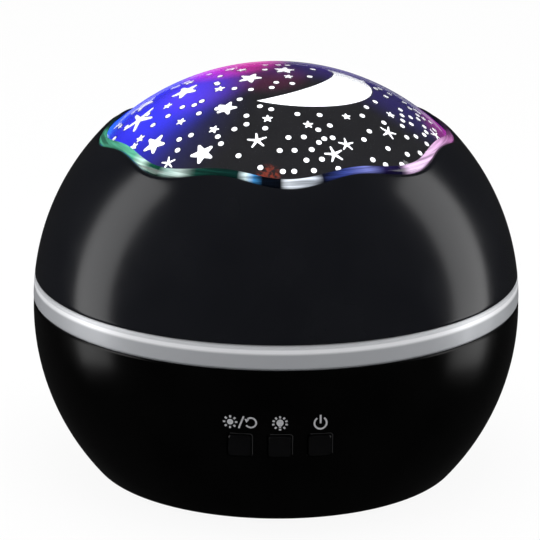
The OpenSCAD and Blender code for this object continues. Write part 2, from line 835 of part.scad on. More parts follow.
module turntable() {
  color(white_plastic) {
    rotate_extrude($fn = 180) polygon([
      [hub_in, hub_z],
      [hub_out, hub_z],
      [hub_out, disc_z],
      [disc_r, disc_z],
      [disc_r, disc_top],
      [rim_lip_out, disc_top],
      [rim_lip_out, disc_top + rim_lip_h],
      [rim_lip_out - rim_lip_w, disc_top + rim_lip_h],
      [rim_lip_out - rim_lip_w, disc_top],
      [hub_out, disc_top],
      [hub_out, hub_top],
      [hub_in, hub_top]
    ]);
    translate([0, 0, gear_z]) linear_extrude(tooth_h + 0.5) difference() {
      circle(ring_out);
      polygon(gear_outline(ring_teeth, ring_tip_r, ring_root_r, backlash / 2, 2));
    }
  }
}

module drive_motor() {
  color(steel) translate([0, motor_y, 0]) difference() {
    union() {
      translate([0, 0, deck_z - gearcase_h]) cylinder(d = gearcase_d, h = gearcase_h);
      translate([0, 0, motor_bottom]) cylinder(d = can_d, h = can_h + 0.01);
      translate([0, 0, deck_z - ear_t]) linear_extrude(ear_t) rounded(2 * ear_x + ear_w, ear_w, ear_w / 2 - 0.1);
      translate([0, 0, deck_z - 1]) cylinder(r = motor_bush_r, h = motor_bush_h + 1, $fn = 48);
    }
    translate([0, 0, deck_z - shaft_sink]) {
      cylinder(r = shaft_d / 2 + running_fit, h = shaft_sink + motor_bush_h + 1, $fn = 48);
    }
    for (side = [-1, 1]) translate([side * ear_x, 0, deck_z - ear_t - 1]) {
      cylinder(d = small_screw_d + 2 * pilot_play, h = ear_t + 2, $fn = 32);
    }
  }
}

module motor_screws() {
  color(steel) for (side = [-1, 1]) translate([side * ear_x, motor_y, deck_top]) mirror([0, 0, 1]) {
    flush_screw(small_screw_d, deck_t + ear_t + 1);
  }
}

module motor_shaft() {
  color(steel) translate([0, motor_y, deck_z - shaft_sink + 0.5]) {
    cylinder(d = shaft_d, h = gear_z + tooth_h - deck_z + shaft_sink - 0.8, $fn = 48);
  }
}

module drive_pinion() {
  color(white_plastic) translate([0, motor_y, gear_z + 0.1]) difference() {
    linear_extrude(tooth_h - 0.5) {
      polygon(gear_outline(pinion_teeth, pinion_root_r, pinion_tip_r, -backlash / 2, 4));
    }
    translate([0, 0, -1]) cylinder(d = shaft_d, h = tooth_h + 2, $fn = 48);
  }
}

module led_board() {
  color(board_green) translate([0, 0, tower_top]) difference() {
    cylinder(r = led_board_r, h = led_board_t);
    for (side = [-1, 1]) translate([side * led_screw_x, 0, -1]) {
      cylinder(d = small_screw_d + 2 * pilot_play, h = led_board_t + 2, $fn = 32);
    }
    for (x = [-led_step, led_step], y = [-led_step, led_step], leg = [-0.5, 0.5]) {
      translate([x + leg * leg_pitch, y, -1]) cylinder(r = leg_r + 0.1, h = led_board_t + 2, $fn = 16);
    }
  }
}

module led_board_screws() {
  color(steel) for (side = [-1, 1]) translate([side * led_screw_x, 0, led_top]) pan_screw(small_screw_d, 5);
}

module led(x, y, paint) {
  body_h = 6;
  color(paint) translate([x, y, led_top]) {
    cylinder(d = led_d + 0.8, h = 1, $fn = 48);
    cylinder(d = led_d, h = body_h, $fn = 48);
    translate([0, 0, body_h]) sphere(d = led_d, $fn = 48);
    for (leg = [-0.5, 0.5]) translate([leg * leg_pitch, 0, -led_board_t - 1.5]) {
      cylinder(r = leg_r, h = led_board_t + 2, $fn = 16);
    }
  }
}

module led_white() { led(-led_step, -led_step, "#f4f4ee"); }
module led_red() { led(led_step, -led_step, "#e8404a"); }
module led_green() { led(led_step, led_step, "#3fc060"); }
module led_blue() { led(-led_step, led_step, "#3a62e8"); }

module button_board() {
  color(board_green) difference() {
    translate([-board_w / 2, -button_board_y, board_z]) cube([board_w, board_t, board_h]);
    for (x = [-board_boss_x, board_boss_x], z = board_boss_zs) {
      translate([x, 1 - board_back, z]) rotate([90, 0, 0]) {
        cylinder(d = small_screw_d + 2 * pilot_play, h = board_t + 2, $fn = 32);
      }
    }
  }
}

module board_screws() {
  color(steel) for (x = [-board_boss_x, board_boss_x], z = board_boss_zs) {
    translate([x, -board_back, z]) rotate([-90, 0, 0]) pan_screw(small_screw_d, 5);
  }
}

module tact_switches() {
  color(dark_plastic) for (x = button_xs) translate([x, -button_board_y, button_z]) difference() {
    translate([-switch_w / 2, -switch_h, -switch_w / 2]) cube([switch_w, switch_h, switch_w]);
    translate([0, -switch_h + plunger_in + button_travel + 0.2, 0]) rotate([90, 0, 0]) {
      cylinder(d = plunger_d + 2 * running_fit, h = switch_h, $fn = 48);
    }
  }
}

module controller_chip() {
  color(dark_plastic) translate([0, -board_back, board_z]) {
    translate([-3, 0, 5]) cube([6, 1.6, 5]);
    for (i = [0 : 3], side = [-1, 1]) {
      translate([side * 3.6 - 0.6, 0, 5.4 + 1.15 * i]) cube([1.2, 0.4, 0.5]);
    }
  }
  color(steel) for (x = [-9, 9]) translate([x, -board_back, board_z + 7.5]) rotate([-90, 0, 0]) {
    cylinder(d = 5, h = 5.4, $fn = 48);
  }
}

module wire_connectors() {
  color(white_plastic) for (x = plug_x) translate([x - plug_w / 2, -board_back, plug_z - plug_h / 2]) {
    cube([plug_w, plug_l, plug_h]);
  }
}

// A button: its cap follows the globe, a flange behind the pad keeps it in, and its stem
// ends on the switch's plunger
module button(x) {
  color(black_plastic) {
    intersection() {
      translate([x, 0, button_z]) button_prism(button_w, button_h, 0.8, 2 * globe_r);
      translate([0, 0, low_z]) sphere(globe_r + button_proud);
      translate([-globe_r, -2 * globe_r - pad_y + 0.1, 0]) cube(2 * globe_r);
    }
    translate([x, -pad_y + flange_t, button_z]) {
      button_prism(button_w + 2 * flange_edge, button_h + 2 * flange_edge, 1, flange_t);
    }
    translate([x, -pad_y + flange_t + stem_l, button_z]) rotate([90, 0, 0]) {
      cylinder(d = stem_d, h = stem_l + 0.1, $fn = 32);
    }
  }
}

// The plunger reaches from the button's stem into the switch
module plunger(x) {
  color(white_plastic) translate([x, -button_board_y - switch_h + plunger_in, button_z]) rotate([90, 0, 0]) {
    cylinder(d = plunger_d, h = plunger_out + plunger_in, $fn = 48);
  }
}

module spin_button() { button(button_xs[0]); }
module spin_plunger() { plunger(button_xs[0]); }
module lamp_button() { button(button_xs[1]); }
module lamp_plunger() { plunger(button_xs[1]); }
module power_button() { button(button_xs[2]); }
module power_plunger() { plunger(button_xs[2]); }

module usb_board() {
  color(board_green) difference() {
    translate([-usb_board_w / 2, usb_board_front, usb_board_top - usb_board_t]) {
      cube([usb_board_w, usb_board_l, usb_board_t]);
    }
    for (x = [-usb_post_x, usb_post_x]) translate([x, usb_post_y, 0]) {
      cylinder(d = small_screw_d + 2 * pilot_play, h = usb_board_top + 1, $fn = 32);
    }
  }
}

module usb_board_screws() {
  color(steel) for (x = [-usb_post_x, usb_post_x]) translate([x, usb_post_y, usb_board_top]) {
    pan_screw(small_screw_d, 5);
  }
}

module usb_socket() {
  back_y = well_y + 0.2 - socket_l;
  mouth_w = socket_w - 2 * socket_wall;
  mouth_h = socket_h - 2 * socket_wall;
  color(steel) translate([-socket_w / 2, back_y, usb_board_top]) difference() {
    cube([socket_w, socket_l, socket_h]);
    translate([socket_wall, 1, socket_wall]) cube([mouth_w, socket_l, mouth_h]);
  }
  color(dark_plastic) translate([-socket_w / 2 + 1.4, back_y, usb_z - 0.35]) {
    cube([socket_w - 2.8, socket_l - 0.6, 0.7]);
  }
}

module battery_wires() {
  lift = [box_l / 2 - contact_t / 2, 0, box_top + tab_up];
  last_red = [plug_x[3] + wire_gap / 2, wire_end_y, plug_z];
  last_dark = [plug_x[3] - wire_gap / 2, wire_end_y, plug_z];
  red_start = lift + [0, cell_ys[cells - 1], 0];
  dark_start = lift + [0, cell_ys[0], 0];
  wire(concat([for (p = red_route) red_start + p], [last_red + [0, 6, -0.6], last_red]), [0, 0, 0], red_wire);
  wire(concat([for (p = dark_route) dark_start + p], [last_dark + [0, 6, -1.5], last_dark]), [0, 0, 0], dark_wire);
}

module motor_wires() { wire_pair(motor_route); }
module led_wires() { wire_pair(led_route); }
module usb_wires() { wire_pair(usb_route); }

base_shell();
screw_posts();
button_guide();
usb_well();
bottom_cover();
rubber_feet();
base_screws();
batteries();
battery_springs();
battery_contacts();
battery_door();
door_screw();
silver_band();
chassis_deck();
deck_screws();
upper_cover();
clear_dome();
wave_trim();
star_dome();
star_film();
turntable();
drive_motor();
motor_screws();
motor_shaft();
drive_pinion();
led_board();
led_board_screws();
led_white();
led_red();
led_green();
led_blue();
button_board();
board_screws();
tact_switches();
controller_chip();
wire_connectors();
spin_button();
spin_plunger();
lamp_button();
lamp_plunger();
power_button();
power_plunger();
usb_board();
usb_board_screws();
usb_socket();
battery_wires();
motor_wires();
led_wires();
usb_wires();
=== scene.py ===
import json
import math
import bpy
import bmesh
import numpy as np
from mathutils import Matrix, Quaternion, Vector


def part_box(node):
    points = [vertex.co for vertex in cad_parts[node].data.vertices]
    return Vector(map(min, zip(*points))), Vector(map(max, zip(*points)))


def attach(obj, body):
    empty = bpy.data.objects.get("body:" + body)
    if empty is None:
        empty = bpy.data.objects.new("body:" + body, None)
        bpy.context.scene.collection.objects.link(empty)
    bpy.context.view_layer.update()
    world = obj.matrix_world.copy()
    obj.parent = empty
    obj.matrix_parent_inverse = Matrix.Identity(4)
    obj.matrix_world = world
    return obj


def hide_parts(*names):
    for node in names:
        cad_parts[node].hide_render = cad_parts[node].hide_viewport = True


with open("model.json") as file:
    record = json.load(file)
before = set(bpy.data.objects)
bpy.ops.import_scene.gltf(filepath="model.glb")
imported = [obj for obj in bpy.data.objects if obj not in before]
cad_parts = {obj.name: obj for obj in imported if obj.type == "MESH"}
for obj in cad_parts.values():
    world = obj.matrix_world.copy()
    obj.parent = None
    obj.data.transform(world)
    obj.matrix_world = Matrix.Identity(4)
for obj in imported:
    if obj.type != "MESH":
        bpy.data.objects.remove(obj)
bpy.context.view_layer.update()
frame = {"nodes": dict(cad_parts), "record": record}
nodes = frame["nodes"]
print("frame:", len(nodes), "nodes")

mm = 0.001  # shapes are worked out in mm and stored in metres
turns = 256  # steps round each turned piece


# Camera, a long lens a metre away and a little above the globe
cameraLook = {
    "target": (-1.64, 1.21, 53.81),
    "azimuth": -1.0,
    "elevation": 17.25,
    "roll": 0.34,
    "distance": 1000,
    "lens": 248.4,
    "sensor": 36,
    "clip": (0.05, 20),
}


def placeCamera(look):
    # the eye is the target plus the distance along the raised line towards the front
    rise, side = math.radians(look["elevation"]), math.radians(look["azimuth"])
    back = Vector((math.sin(side) * math.cos(rise), -math.cos(side) * math.cos(rise), math.sin(rise)))
    data = bpy.data.cameras.new("camera")
    data.lens, data.sensor_width = look["lens"], look["sensor"]
    data.clip_start, data.clip_end = look["clip"]
    camera = bpy.data.objects.new("camera", data)
    bpy.context.scene.collection.objects.link(camera)
    camera.location = (Vector(look["target"]) + look["distance"] * back) * mm
    level = (-back).to_track_quat("-Z", "Y")
    camera.rotation_euler = (level @ Quaternion((0, 0, 1), math.radians(look["roll"]))).to_euler()
    bpy.context.scene.camera = camera
    return back


towardsCamera = np.array(placeCamera(cameraLook))
print("camera set")


# Meshes

def gridFaces(rows, columns, closedRows=False, closedColumns=True):
    # each cell's four corners, numbered row by row; a closed direction wraps to its start
    i = np.arange(rows if closedRows else rows - 1)[:, None]
    j = np.arange(columns if closedColumns else columns - 1)[None, :]
    iNext, jNext = (i + 1) % rows, (j + 1) % columns
    corners = [i * columns + j, i * columns + jNext, iNext * columns + jNext, iNext * columns + j]
    return np.stack(np.broadcast_arrays(*corners), axis=-1).reshape(-1, 4)


def addMesh(name, points, faces, sharpAngle=35):
    # points in mm become a mesh in metres, poles and seams are merged, and faces turned outwards
    mesh = bpy.data.meshes.new(name)
    mesh.from_pydata((np.asarray(points).reshape(-1, 3) * mm).tolist(), [], np.asarray(faces).tolist())
    work = bmesh.new()
    work.from_mesh(mesh)
    bmesh.ops.remove_doubles(work, verts=work.verts, dist=0.002 * mm)
    bmesh.ops.dissolve_degenerate(work, edges=work.edges, dist=0.001 * mm)
    bmesh.ops.recalc_face_normals(work, faces=work.faces)
    work.to_mesh(mesh)
    work.free()
    mesh.shade_smooth()
    mesh.set_sharp_from_angle(angle=math.radians(sharpAngle))
    piece = bpy.data.objects.new(name, mesh)
    bpy.context.scene.collection.objects.link(piece)
    return piece


def dress(piece, body, material, slot, *stoodFor):
    # one material, the body it moves with, its slot, which is not used, and the nodes it stands for
    piece.data.materials.clear()
    piece.data.materials.append(material)
    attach(piece, body)
    if stoodFor:
        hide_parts(*stoodFor)


def arc(centreR, centreZ, radius, start, end, steps):
    # points (r, z) on a circle, from the start angle to the end angle in degrees
    a = np.radians(np.linspace(start, end, steps))
    return np.stack([centreR + radius * np.cos(a), centreZ + radius * np.sin(a)], axis=1)


def turned(profile, steps=turns):
    # each profile point (r, z) goes round the Z axis: x = r cos a, y = r sin a
    a = np.linspace(0, 2 * math.pi, steps, endpoint=False)
    r, z = profile[:, :1], profile[:, 1:]
    return np.stack([r * np.cos(a), r * np.sin(a), np.broadcast_to(z, (len(profile), steps))], axis=-1)


def turnedPiece(name, profile, sharpAngle=35):
    # a closed profile turned into a ring or a shell
    return addMesh(name, turned(profile), gridFaces(len(profile), turns, closedRows=True), sharpAngle)


def roundedSquare(width, height, corner, steps=6):
    # four corner arcs joined by straight sides, counter-clockwise
    a = np.radians(np.linspace(0, 90, steps))
    signs = [(1, 1), (-1, 1), (-1, -1), (1, -1)]
    corners = [np.stack([sx * (width / 2 - corner) + corner * np.cos(a + k * math.pi / 2),
                         sy * (height / 2 - corner) + corner * np.sin(a + k * math.pi / 2)], axis=1)
               for k, (sx, sy) in enumerate(signs)]
    return np.concatenate(corners)


def cutWith(piece, cutters, sharpAngle=35):
    # exact Booleans, then the result becomes the piece's own mesh
    for cutter in cutters:
        cut = piece.modifiers.new("cut", "BOOLEAN")
        cut.operation, cut.solver, cut.object = "DIFFERENCE", "EXACT", cutter
    depsgraph = bpy.context.evaluated_depsgraph_get()
    mesh = bpy.data.meshes.new_from_object(piece.evaluated_get(depsgraph))
    piece.modifiers.clear()
    piece.data = mesh
    for cutter in cutters:
        bpy.data.objects.remove(cutter)
    mesh.shade_smooth()
    mesh.set_sharp_from_angle(angle=math.radians(sharpAngle))


# Materials

def linear(hexText):
    # sRGB to linear light: v / 12.92 below 0.04045, else ((v + 0.055) / 1.055) to the power 2.4
    v = np.array([int(hexText[i:i + 2], 16) for i in (1, 3, 5)]) / 255
    return (*np.where(v <= 0.04045, v / 12.92, ((v + 0.055) / 1.055) ** 2.4).tolist(), 1.0)


def addNode(tree, kind, sockets=(), links=(), **settings):
    # a node with its socket values, what is linked into it, and its own settings
    node = tree.nodes.new(kind)
    for name, value in settings.items():
        setattr(node, name, value)
    for name, value in dict(sockets).items():
        node.inputs[name].default_value = value
    for name, source in dict(links).items():
        tree.links.new(source, node.inputs[name])
    return node


def startMaterial(name, sockets):
    # one Principled shader with these sockets, and the object's own coordinates
    material = bpy.data.materials.new(name)
    material.use_nodes = True
    tree = material.node_tree
    tree.nodes.clear()
    shader = addNode(tree, "ShaderNodeBsdfPrincipled", sockets)
    addNode(tree, "ShaderNodeOutputMaterial", links={0: shader.outputs[0]})
    place = addNode(tree, "ShaderNodeTexCoord").outputs["Object"]
    return material, tree, shader, place


def vary(tree, shader, place, size, rough, colours=None, bump=0, detail=3.0, stretch=(1, 1, 1)):
    # noise of that size in mm moves the roughness between two values, the colour between two
    # shades, and lifts the surface by bump in mm
    spot = addNode(tree, "ShaderNodeMapping", {"Scale": stretch}, {"Vector": place})
    noise = addNode(tree, "ShaderNodeTexNoise", {"Scale": 1 / (size * mm), "Detail": detail},
                    {"Vector": spot.outputs[0]})
    value = noise.outputs[0]
    span = addNode(tree, "ShaderNodeMapRange", {1: 0.3, 2: 0.7, 3: rough[0], 4: rough[1]}, {0: value})
    tree.links.new(span.outputs[0], shader.inputs["Roughness"])
    if colours:
        blend = addNode(tree, "ShaderNodeMapRange", {1: 0.3, 2: 0.7}, {0: value})
        mix = addNode(tree, "ShaderNodeMix", {6: linear(colours[0]), 7: linear(colours[1])},
                      {0: blend.outputs[0]}, data_type="RGBA")
        tree.links.new(mix.outputs[2], shader.inputs["Base Color"])
    if bump:
        lift = addNode(tree, "ShaderNodeBump", {"Strength": 1.0, "Distance": bump * mm}, {"Height": value})
        tree.links.new(lift.outputs[0], shader.inputs["Normal"])


def makeGlossAbs(name, shades, level, rough):
    # polished black ABS: a deep colour under a soft mirror, slightly wavy as moulded shells are
    material, tree, shader, place = startMaterial(name, {"IOR": 1.5, "Specular IOR Level": level})
    vary(tree, shader, place, 14, rough, shades, bump=0.01, detail=2.0)
    return material


# Painted light on the silver ring, from its lower edge (0) to its upper edge (1): painted shade in the
# groove, a painted highlight line just below the shoulder and a lighter painted shoulder
silverLightBands = {
    "low": 47.5,
    "high": 54.3,
    "shades": [(0.0, "#a2a4a8"), (0.06, "#84868a"), (0.14, "#a8aaae"), (0.6, "#a8aaae"),
               (0.7, "#f0f1f4"), (0.79, "#f4f5f8"), (0.84, "#cdced2"), (1.0, "#c6c8cb")],
    "flake": 0.5,
    "flakeLift": 0.01,
}


def setStops(ramp, stops):
    # the ramp gets one mark for each stop (place from 0 to 1, colour)
    marks = ramp.color_ramp.elements
    while len(marks) < len(stops):
        marks.new(0.5)
    for mark, (where, colour) in zip(marks, stops):
        mark.position = where
    for mark, (where, colour) in zip(marks, stops):
        mark.color = linear(colour)


def makeSilverPaint(bands):
    # silver lacquer on ABS: fine metal flakes give a satin sheen. Its colour is painted by height: a painted
    # highlight line just below the ring's shoulder, a lighter painted shoulder and painted shade in its
    # groove
    material, tree, shader, place = startMaterial("silverLacquer", {"Metallic": 0.25})
    vary(tree, shader, place, 9, (0.34, 0.44), stretch=(1, 1, 2.5))
    axes = addNode(tree, "ShaderNodeSeparateXYZ", links={0: place})
    height = addNode(tree, "ShaderNodeMapRange", {1: bands["low"] * mm, 2: bands["high"] * mm},
                     {0: axes.outputs[2]})
    ramp = addNode(tree, "ShaderNodeValToRGB", links={0: height.outputs[0]})
    # the painted highlight and painted shade, set by height
    setStops(ramp, bands["shades"])
    tree.links.new(ramp.outputs[0], shader.inputs["Base Color"])
    grain = addNode(tree, "ShaderNodeTexNoise", {"Scale": 1 / (bands["flake"] * mm), "Detail": 2.0},
                    {"Vector": place})
    lift = addNode(tree, "ShaderNodeBump", {"Strength": 0.5, "Distance": bands["flakeLift"] * mm},
                   {"Height": grain.outputs[0]})
    tree.links.new(lift.outputs[0], shader.inputs["Normal"])
    return material


# Night sky film. Each glow is (azimuth, polar, spread, colour, strength) in degrees: azimuth from
# the front, positive to the right, and polar down from the top of the dome. The marks' places
# were chosen on a ball of the drawn radius
skyFilm = {
    "domeZ": 45.45,
    "radius": 63.7,
    "drawn": 63.4,
    "thickness": 0.65,
    "edge": 51.5,
    "base": ("#2f2e31", "#37363a"),
    # an even painted glow that lightens the whole film, standing in for light the clear wall keeps from it
    "evenGlow": "#1f1f20",
    "glows": [
        (-98, 44, 40, "#2222ff", 1.0),
        (-78, 40, 36, "#2c2c88", 0.5),
        (-101, 50, 17, "#2f8cff", 0.7),
        (-80, 26, 20, "#3a3ae0", 0.5),
        (-132, 14, 15, "#ff2cb0", 0.85),
        (-74, 18, 15, "#7a3ad0", 0.4),
        (-30, 5, 12, "#8a1c60", 0.3),
        (169, 14, 24, "#4a2a9c", 0.5),
        (111, 33, 30, "#3c2c96", 0.6),
        (92, 47, 14, "#c03494", 0.75),
    ],
    # a small red glow near the front, shown only through specks in the print
    "redGlow": (-4, 42.2, 3.4, "#a83c1c", 0.8),
}


def unit(v):
    # each vector over its own length
    return v / np.linalg.norm(v, axis=-1)[..., None]


def direction(azimuth, polar):
    # unit vector: x = sin p sin a, y = -sin p cos a, z = cos p
    a, p = np.radians(azimuth), np.radians(polar)
    return np.stack([np.sin(p) * np.sin(a), -np.sin(p) * np.cos(a), np.cos(p)], axis=-1)


def addGlows(tree, place, sky, lobes, start="#000000"):
    # each LED's glow is a lobe that fades with the angle from its direction, and the glows add up
    centred = addNode(tree, "ShaderNodeVectorMath", {1: (0, 0, sky["domeZ"] * mm)}, {0: place},
                      operation="SUBTRACT")
    outward = addNode(tree, "ShaderNodeVectorMath", links={0: centred.outputs[0]}, operation="NORMALIZE")
    total = addNode(tree, "ShaderNodeRGB").outputs[0]
    total.default_value = linear(start)
    for azimuth, polar, spread, colour, strength in lobes:
        towards = tuple(direction(azimuth, polar).tolist())
        nearness = addNode(tree, "ShaderNodeVectorMath", {1: towards}, {0: outward.outputs[0]},
                           operation="DOT_PRODUCT")
        fade = addNode(tree, "ShaderNodeMapRange", {1: math.cos(math.radians(spread)), 2: 1.0, 4: strength},
                       {0: nearness.outputs["Value"]}, interpolation_type="SMOOTHERSTEP")
        glow = addNode(tree, "ShaderNodeMix", {7: linear(colour)}, {0: fade.outputs[0], 6: total},
                       data_type="RGBA", blend_type="ADD", clamp_factor=False)
        total = glow.outputs[2]
    return total


def makeSkyPrint(sky):
    # smoky printed film over a lit dome: dark grey with fine grain, glowing where the LEDs are near, with an
    # even painted glow over all of it; one small red glow shows through specks in the print
    material, tree, shader, place = startMaterial(
        "skyPrint", {"Specular IOR Level": 0.1, "Emission Strength": 1.0})
    vary(tree, shader, place, 0.45, (0.5, 0.65), sky["base"])
    # the small red glow, let through only where the specks are
    redGlow = addGlows(tree, place, sky, [sky["redGlow"]])
    grit = addNode(tree, "ShaderNodeTexNoise", {"Scale": 1 / (0.9 * mm), "Detail": 3.0}, {"Vector": place})
    specks = addNode(tree, "ShaderNodeMapRange", {1: 0.42, 2: 0.62}, {0: grit.outputs[0]})
    speckledGlow = addNode(tree, "ShaderNodeVectorMath", links={0: redGlow, "Scale": specks.outputs[0]},
                      operation="SCALE")
    # the LEDs' glows are added onto the even painted glow
    glow = addGlows(tree, place, sky, sky["glows"], sky["evenGlow"])
    total = addNode(tree, "ShaderNodeVectorMath", links={0: glow, 1: speckledGlow.outputs[0]})
    tree.links.new(total.outputs[0], shader.inputs["Emission Color"])
    return material


def makeClearAcrylic(sky):
    # moulded acrylic, clear and glossy, with a trace of roughness; where the wall is seen edge on it gets
    # a painted glow in the LEDs' colours
    material, tree, shader, place = startMaterial(
        "clearAcrylic", {"Base Color": linear("#fbfcff"), "IOR": 1.49, "Transmission Weight": 1.0,
                         "Emission Strength": 0.7})
    vary(tree, shader, place, 20, (0.0, 0.03))
    slope = addNode(tree, "ShaderNodeLayerWeight", {"Blend": 0.5})
    edge = addNode(tree, "ShaderNodeMapRange", {1: 0.78, 2: 0.9}, {0: slope.outputs["Facing"]})
    glow = addGlows(tree, place, sky, sky["glows"])
    # the painted edge glow, strongest where the wall turns edge on
    paintedEdgeGlow = addNode(tree, "ShaderNodeVectorMath", links={0: glow, "Scale": edge.outputs[0]},
                    operation="SCALE")
    tree.links.new(paintedEdgeGlow.outputs[0], shader.inputs["Emission Color"])
    return material


def makeWindow():
    # bare, unprinted film: milky white, and even because it is lit from behind
    material, tree, shader, place = startMaterial(
        "litWindow", {"Emission Strength": 1.5, "Emission Color": linear("#ffffff"),
                      "Specular IOR Level": 0.1})
    vary(tree, shader, place, 2, (0.4, 0.5), ("#f6f7fa", "#ffffff"))
    return material


def makeRimAcrylic(stops):
    # clear acrylic bead with a painted glow in the LEDs' colours and painted glints: the colour follows the
    # angle round the dome, and fine painted streaks of lighter and darker run along it
    material, tree, shader, place = startMaterial(
        "rimAcrylic", {"IOR": 1.49, "Roughness": 0.12, "Specular IOR Level": 0.6,
                       "Emission Strength": 0.4})
    axes = addNode(tree, "ShaderNodeSeparateXYZ", links={0: place})
    angle = addNode(tree, "ShaderNodeMath", links={0: axes.outputs[1], 1: axes.outputs[0]},
                    operation="ARCTAN2")
    along = addNode(tree, "ShaderNodeMapRange", {1: -math.pi, 2: math.pi}, {0: angle.outputs[0]})
    ramp = addNode(tree, "ShaderNodeValToRGB", links={0: along.outputs[0]})
    setStops(ramp, [((degrees + 180) / 360, colour) for degrees, colour in stops])
    # streaks about 17 mm long and 0.6 mm high
    level = addNode(tree, "ShaderNodeVectorMath", {1: (60, 60, 1600)}, {0: place}, operation="MULTIPLY")
    streaks = addNode(tree, "ShaderNodeTexNoise", {"Scale": 1.0, "Detail": 2.0}, {"Vector": level.outputs[0]})
    shade = addNode(tree, "ShaderNodeMapRange", {1: 0.35, 2: 0.65, 3: 0.35, 4: 1.15},
                    {0: streaks.outputs[0]})
    lit = addNode(tree, "ShaderNodeVectorMath", links={0: ramp.outputs[0], "Scale": shade.outputs[0]},
                  operation="SCALE")
    tree.links.new(lit.outputs[0], shader.inputs["Base Color"])
    # the same painted colours are also its painted glow
    tree.links.new(lit.outputs[0], shader.inputs["Emission Color"])
    return material


# the same polished black ABS in three shades, set by how lit each part looks: the cover's lightest, the caps'
# a little darker, and the base's near-black is painted shade on the lower half
coverAbs = makeGlossAbs("coverAbs", ("#121317", "#15161a"), 0.3, (0.17, 0.21))
baseAbsShaded = makeGlossAbs("baseAbsShaded", ("#020202", "#040404"), 0.14, (0.2, 0.24))
capAbs = makeGlossAbs("capAbs", ("#060607", "#0a0a0b"), 0.3, (0.2, 0.24))
silverLacquer = makeSilverPaint(silverLightBands)
clearAcrylic = makeClearAcrylic(skyFilm)
skyPrint = makeSkyPrint(skyFilm)
litWindow = makeWindow()
print("main materials made")


# Base, a bowl with a rounded bottom edge, three button windows and a charging well
baseBowl = {
    "centreZ": 44.7,
    "outer": 65.0,
    "inner": 62.8,
    "top": 47.5,
    "floor": 1.2,
    "edgeRound": 3.0,
    "opening": 44.5,
    "lip": (42.8, 3.2, 4.8),
}
buttons = {
    "pitch": 10.2,
    "z": 26.7,
    "width": 5.9,
    "height": 6.2,
    "gap": 0.2,
    "corner": 0.8,
    "windowCorner": 1,
    "proud": 0.9,
    "flange": (1.3, 1.2),
    "stem": (3.5, 4.3),
    "windowRings": ((58, 0), (64.7, 0), (65.02, 0.22), (67, 0.22)),
    "capRings": ((-0.7, 0), (-0.35, 0.06), (-0.12, 0.22), (0, 0.5), (0, 1.6)),
}
chargingWell = {"width": 12.4, "height": 8.4, "z": 15.0, "corner": 0.6, "cut": (50, 70)}


def bowlProfile(look):
    # out along the floor, round its edge, up the outer sphere, over the top edge, down the inner
    # sphere, and along the lip that the bottom cover sits in
    c, r = look["centreZ"], look["outer"]
    roundZ = look["floor"] + look["edgeRound"]
    roundR = math.sqrt((r - look["edgeRound"]) ** 2 - (c - roundZ) ** 2)
    meet = -math.degrees(math.atan2(c - roundZ, roundR))
    topAngle = math.degrees(math.asin((look["top"] - c) / r))
    lipIn, lipLow, lipHigh = look["lip"]
    inTop = math.degrees(math.asin((look["top"] - c) / look["inner"]))
    inLow = math.degrees(math.asin((lipHigh - c) / look["inner"]))
    return np.concatenate([
        [[look["opening"], look["floor"]], [look["opening"] + 0.9, look["floor"]]],
        arc(roundR, roundZ, look["edgeRound"], -90, meet, 12),
        arc(0, c, r, meet, topAngle - 0.3, 60)[1:],
        [[r * math.cos(math.radians(topAngle)) - 0.3, look["top"]]],
        arc(0, c, look["inner"], inTop, inLow, 40),
        [[lipIn, lipHigh], [lipIn, lipLow], [look["opening"], lipLow]],
    ])


def onBowl(x, z, radius, centreZ):
    # front of the sphere at x and z: y = -sqrt(radius^2 - x^2 - (z - centre)^2)
    return np.stack([x, -np.sqrt(np.maximum(radius ** 2 - x ** 2 - (z - centreZ) ** 2, 0)), z], axis=-1)


def loft(name, rings, sharpAngle=35):
    # rings of equal length joined in order, each end closed on its middle
    rings = np.asarray(rings)
    first, last = rings[:1].mean(axis=1, keepdims=True), rings[-1:].mean(axis=1, keepdims=True)
    ends = [np.repeat(end, rings.shape[1], axis=1) for end in (first, last)]
    grid = np.concatenate([ends[0], rings, ends[1]])
    return addMesh(name, grid, gridFaces(*grid.shape[:2]), sharpAngle)


def windowCutter(x, look, bowl):
    # the window's outline on spheres of growing radius; the last ones flare to break the edge
    rings = []
    for radius, spread in look["windowRings"]:
        extra = 2 * (look["gap"] + spread)
        line = roundedSquare(look["width"] + extra, look["height"] + extra, look["windowCorner"])
        rings.append(onBowl(x + line[:, 0], look["z"] + line[:, 1], radius, bowl["centreZ"]))
    return loft("cutter", rings)


def wellCutter(look):
    # a rounded oblong pushed straight through the back wall
    line = roundedSquare(look["width"], look["height"], look["corner"])
    rings = [np.stack([line[:, 0], np.full(len(line), y), look["z"] + line[:, 1]], axis=-1)
             for y in look["cut"]]
    return loft("cutter", rings)


baseBody = turnedPiece("base_body", bowlProfile(baseBowl))
buttonXs = [-buttons["pitch"], 0, buttons["pitch"]]
cutWith(baseBody, [windowCutter(x, buttons, baseBowl) for x in buttonXs] + [wellCutter(chargingWell)])
dress(baseBody, "base", baseAbsShaded, "black_shell", "base_shell")
print("base made")


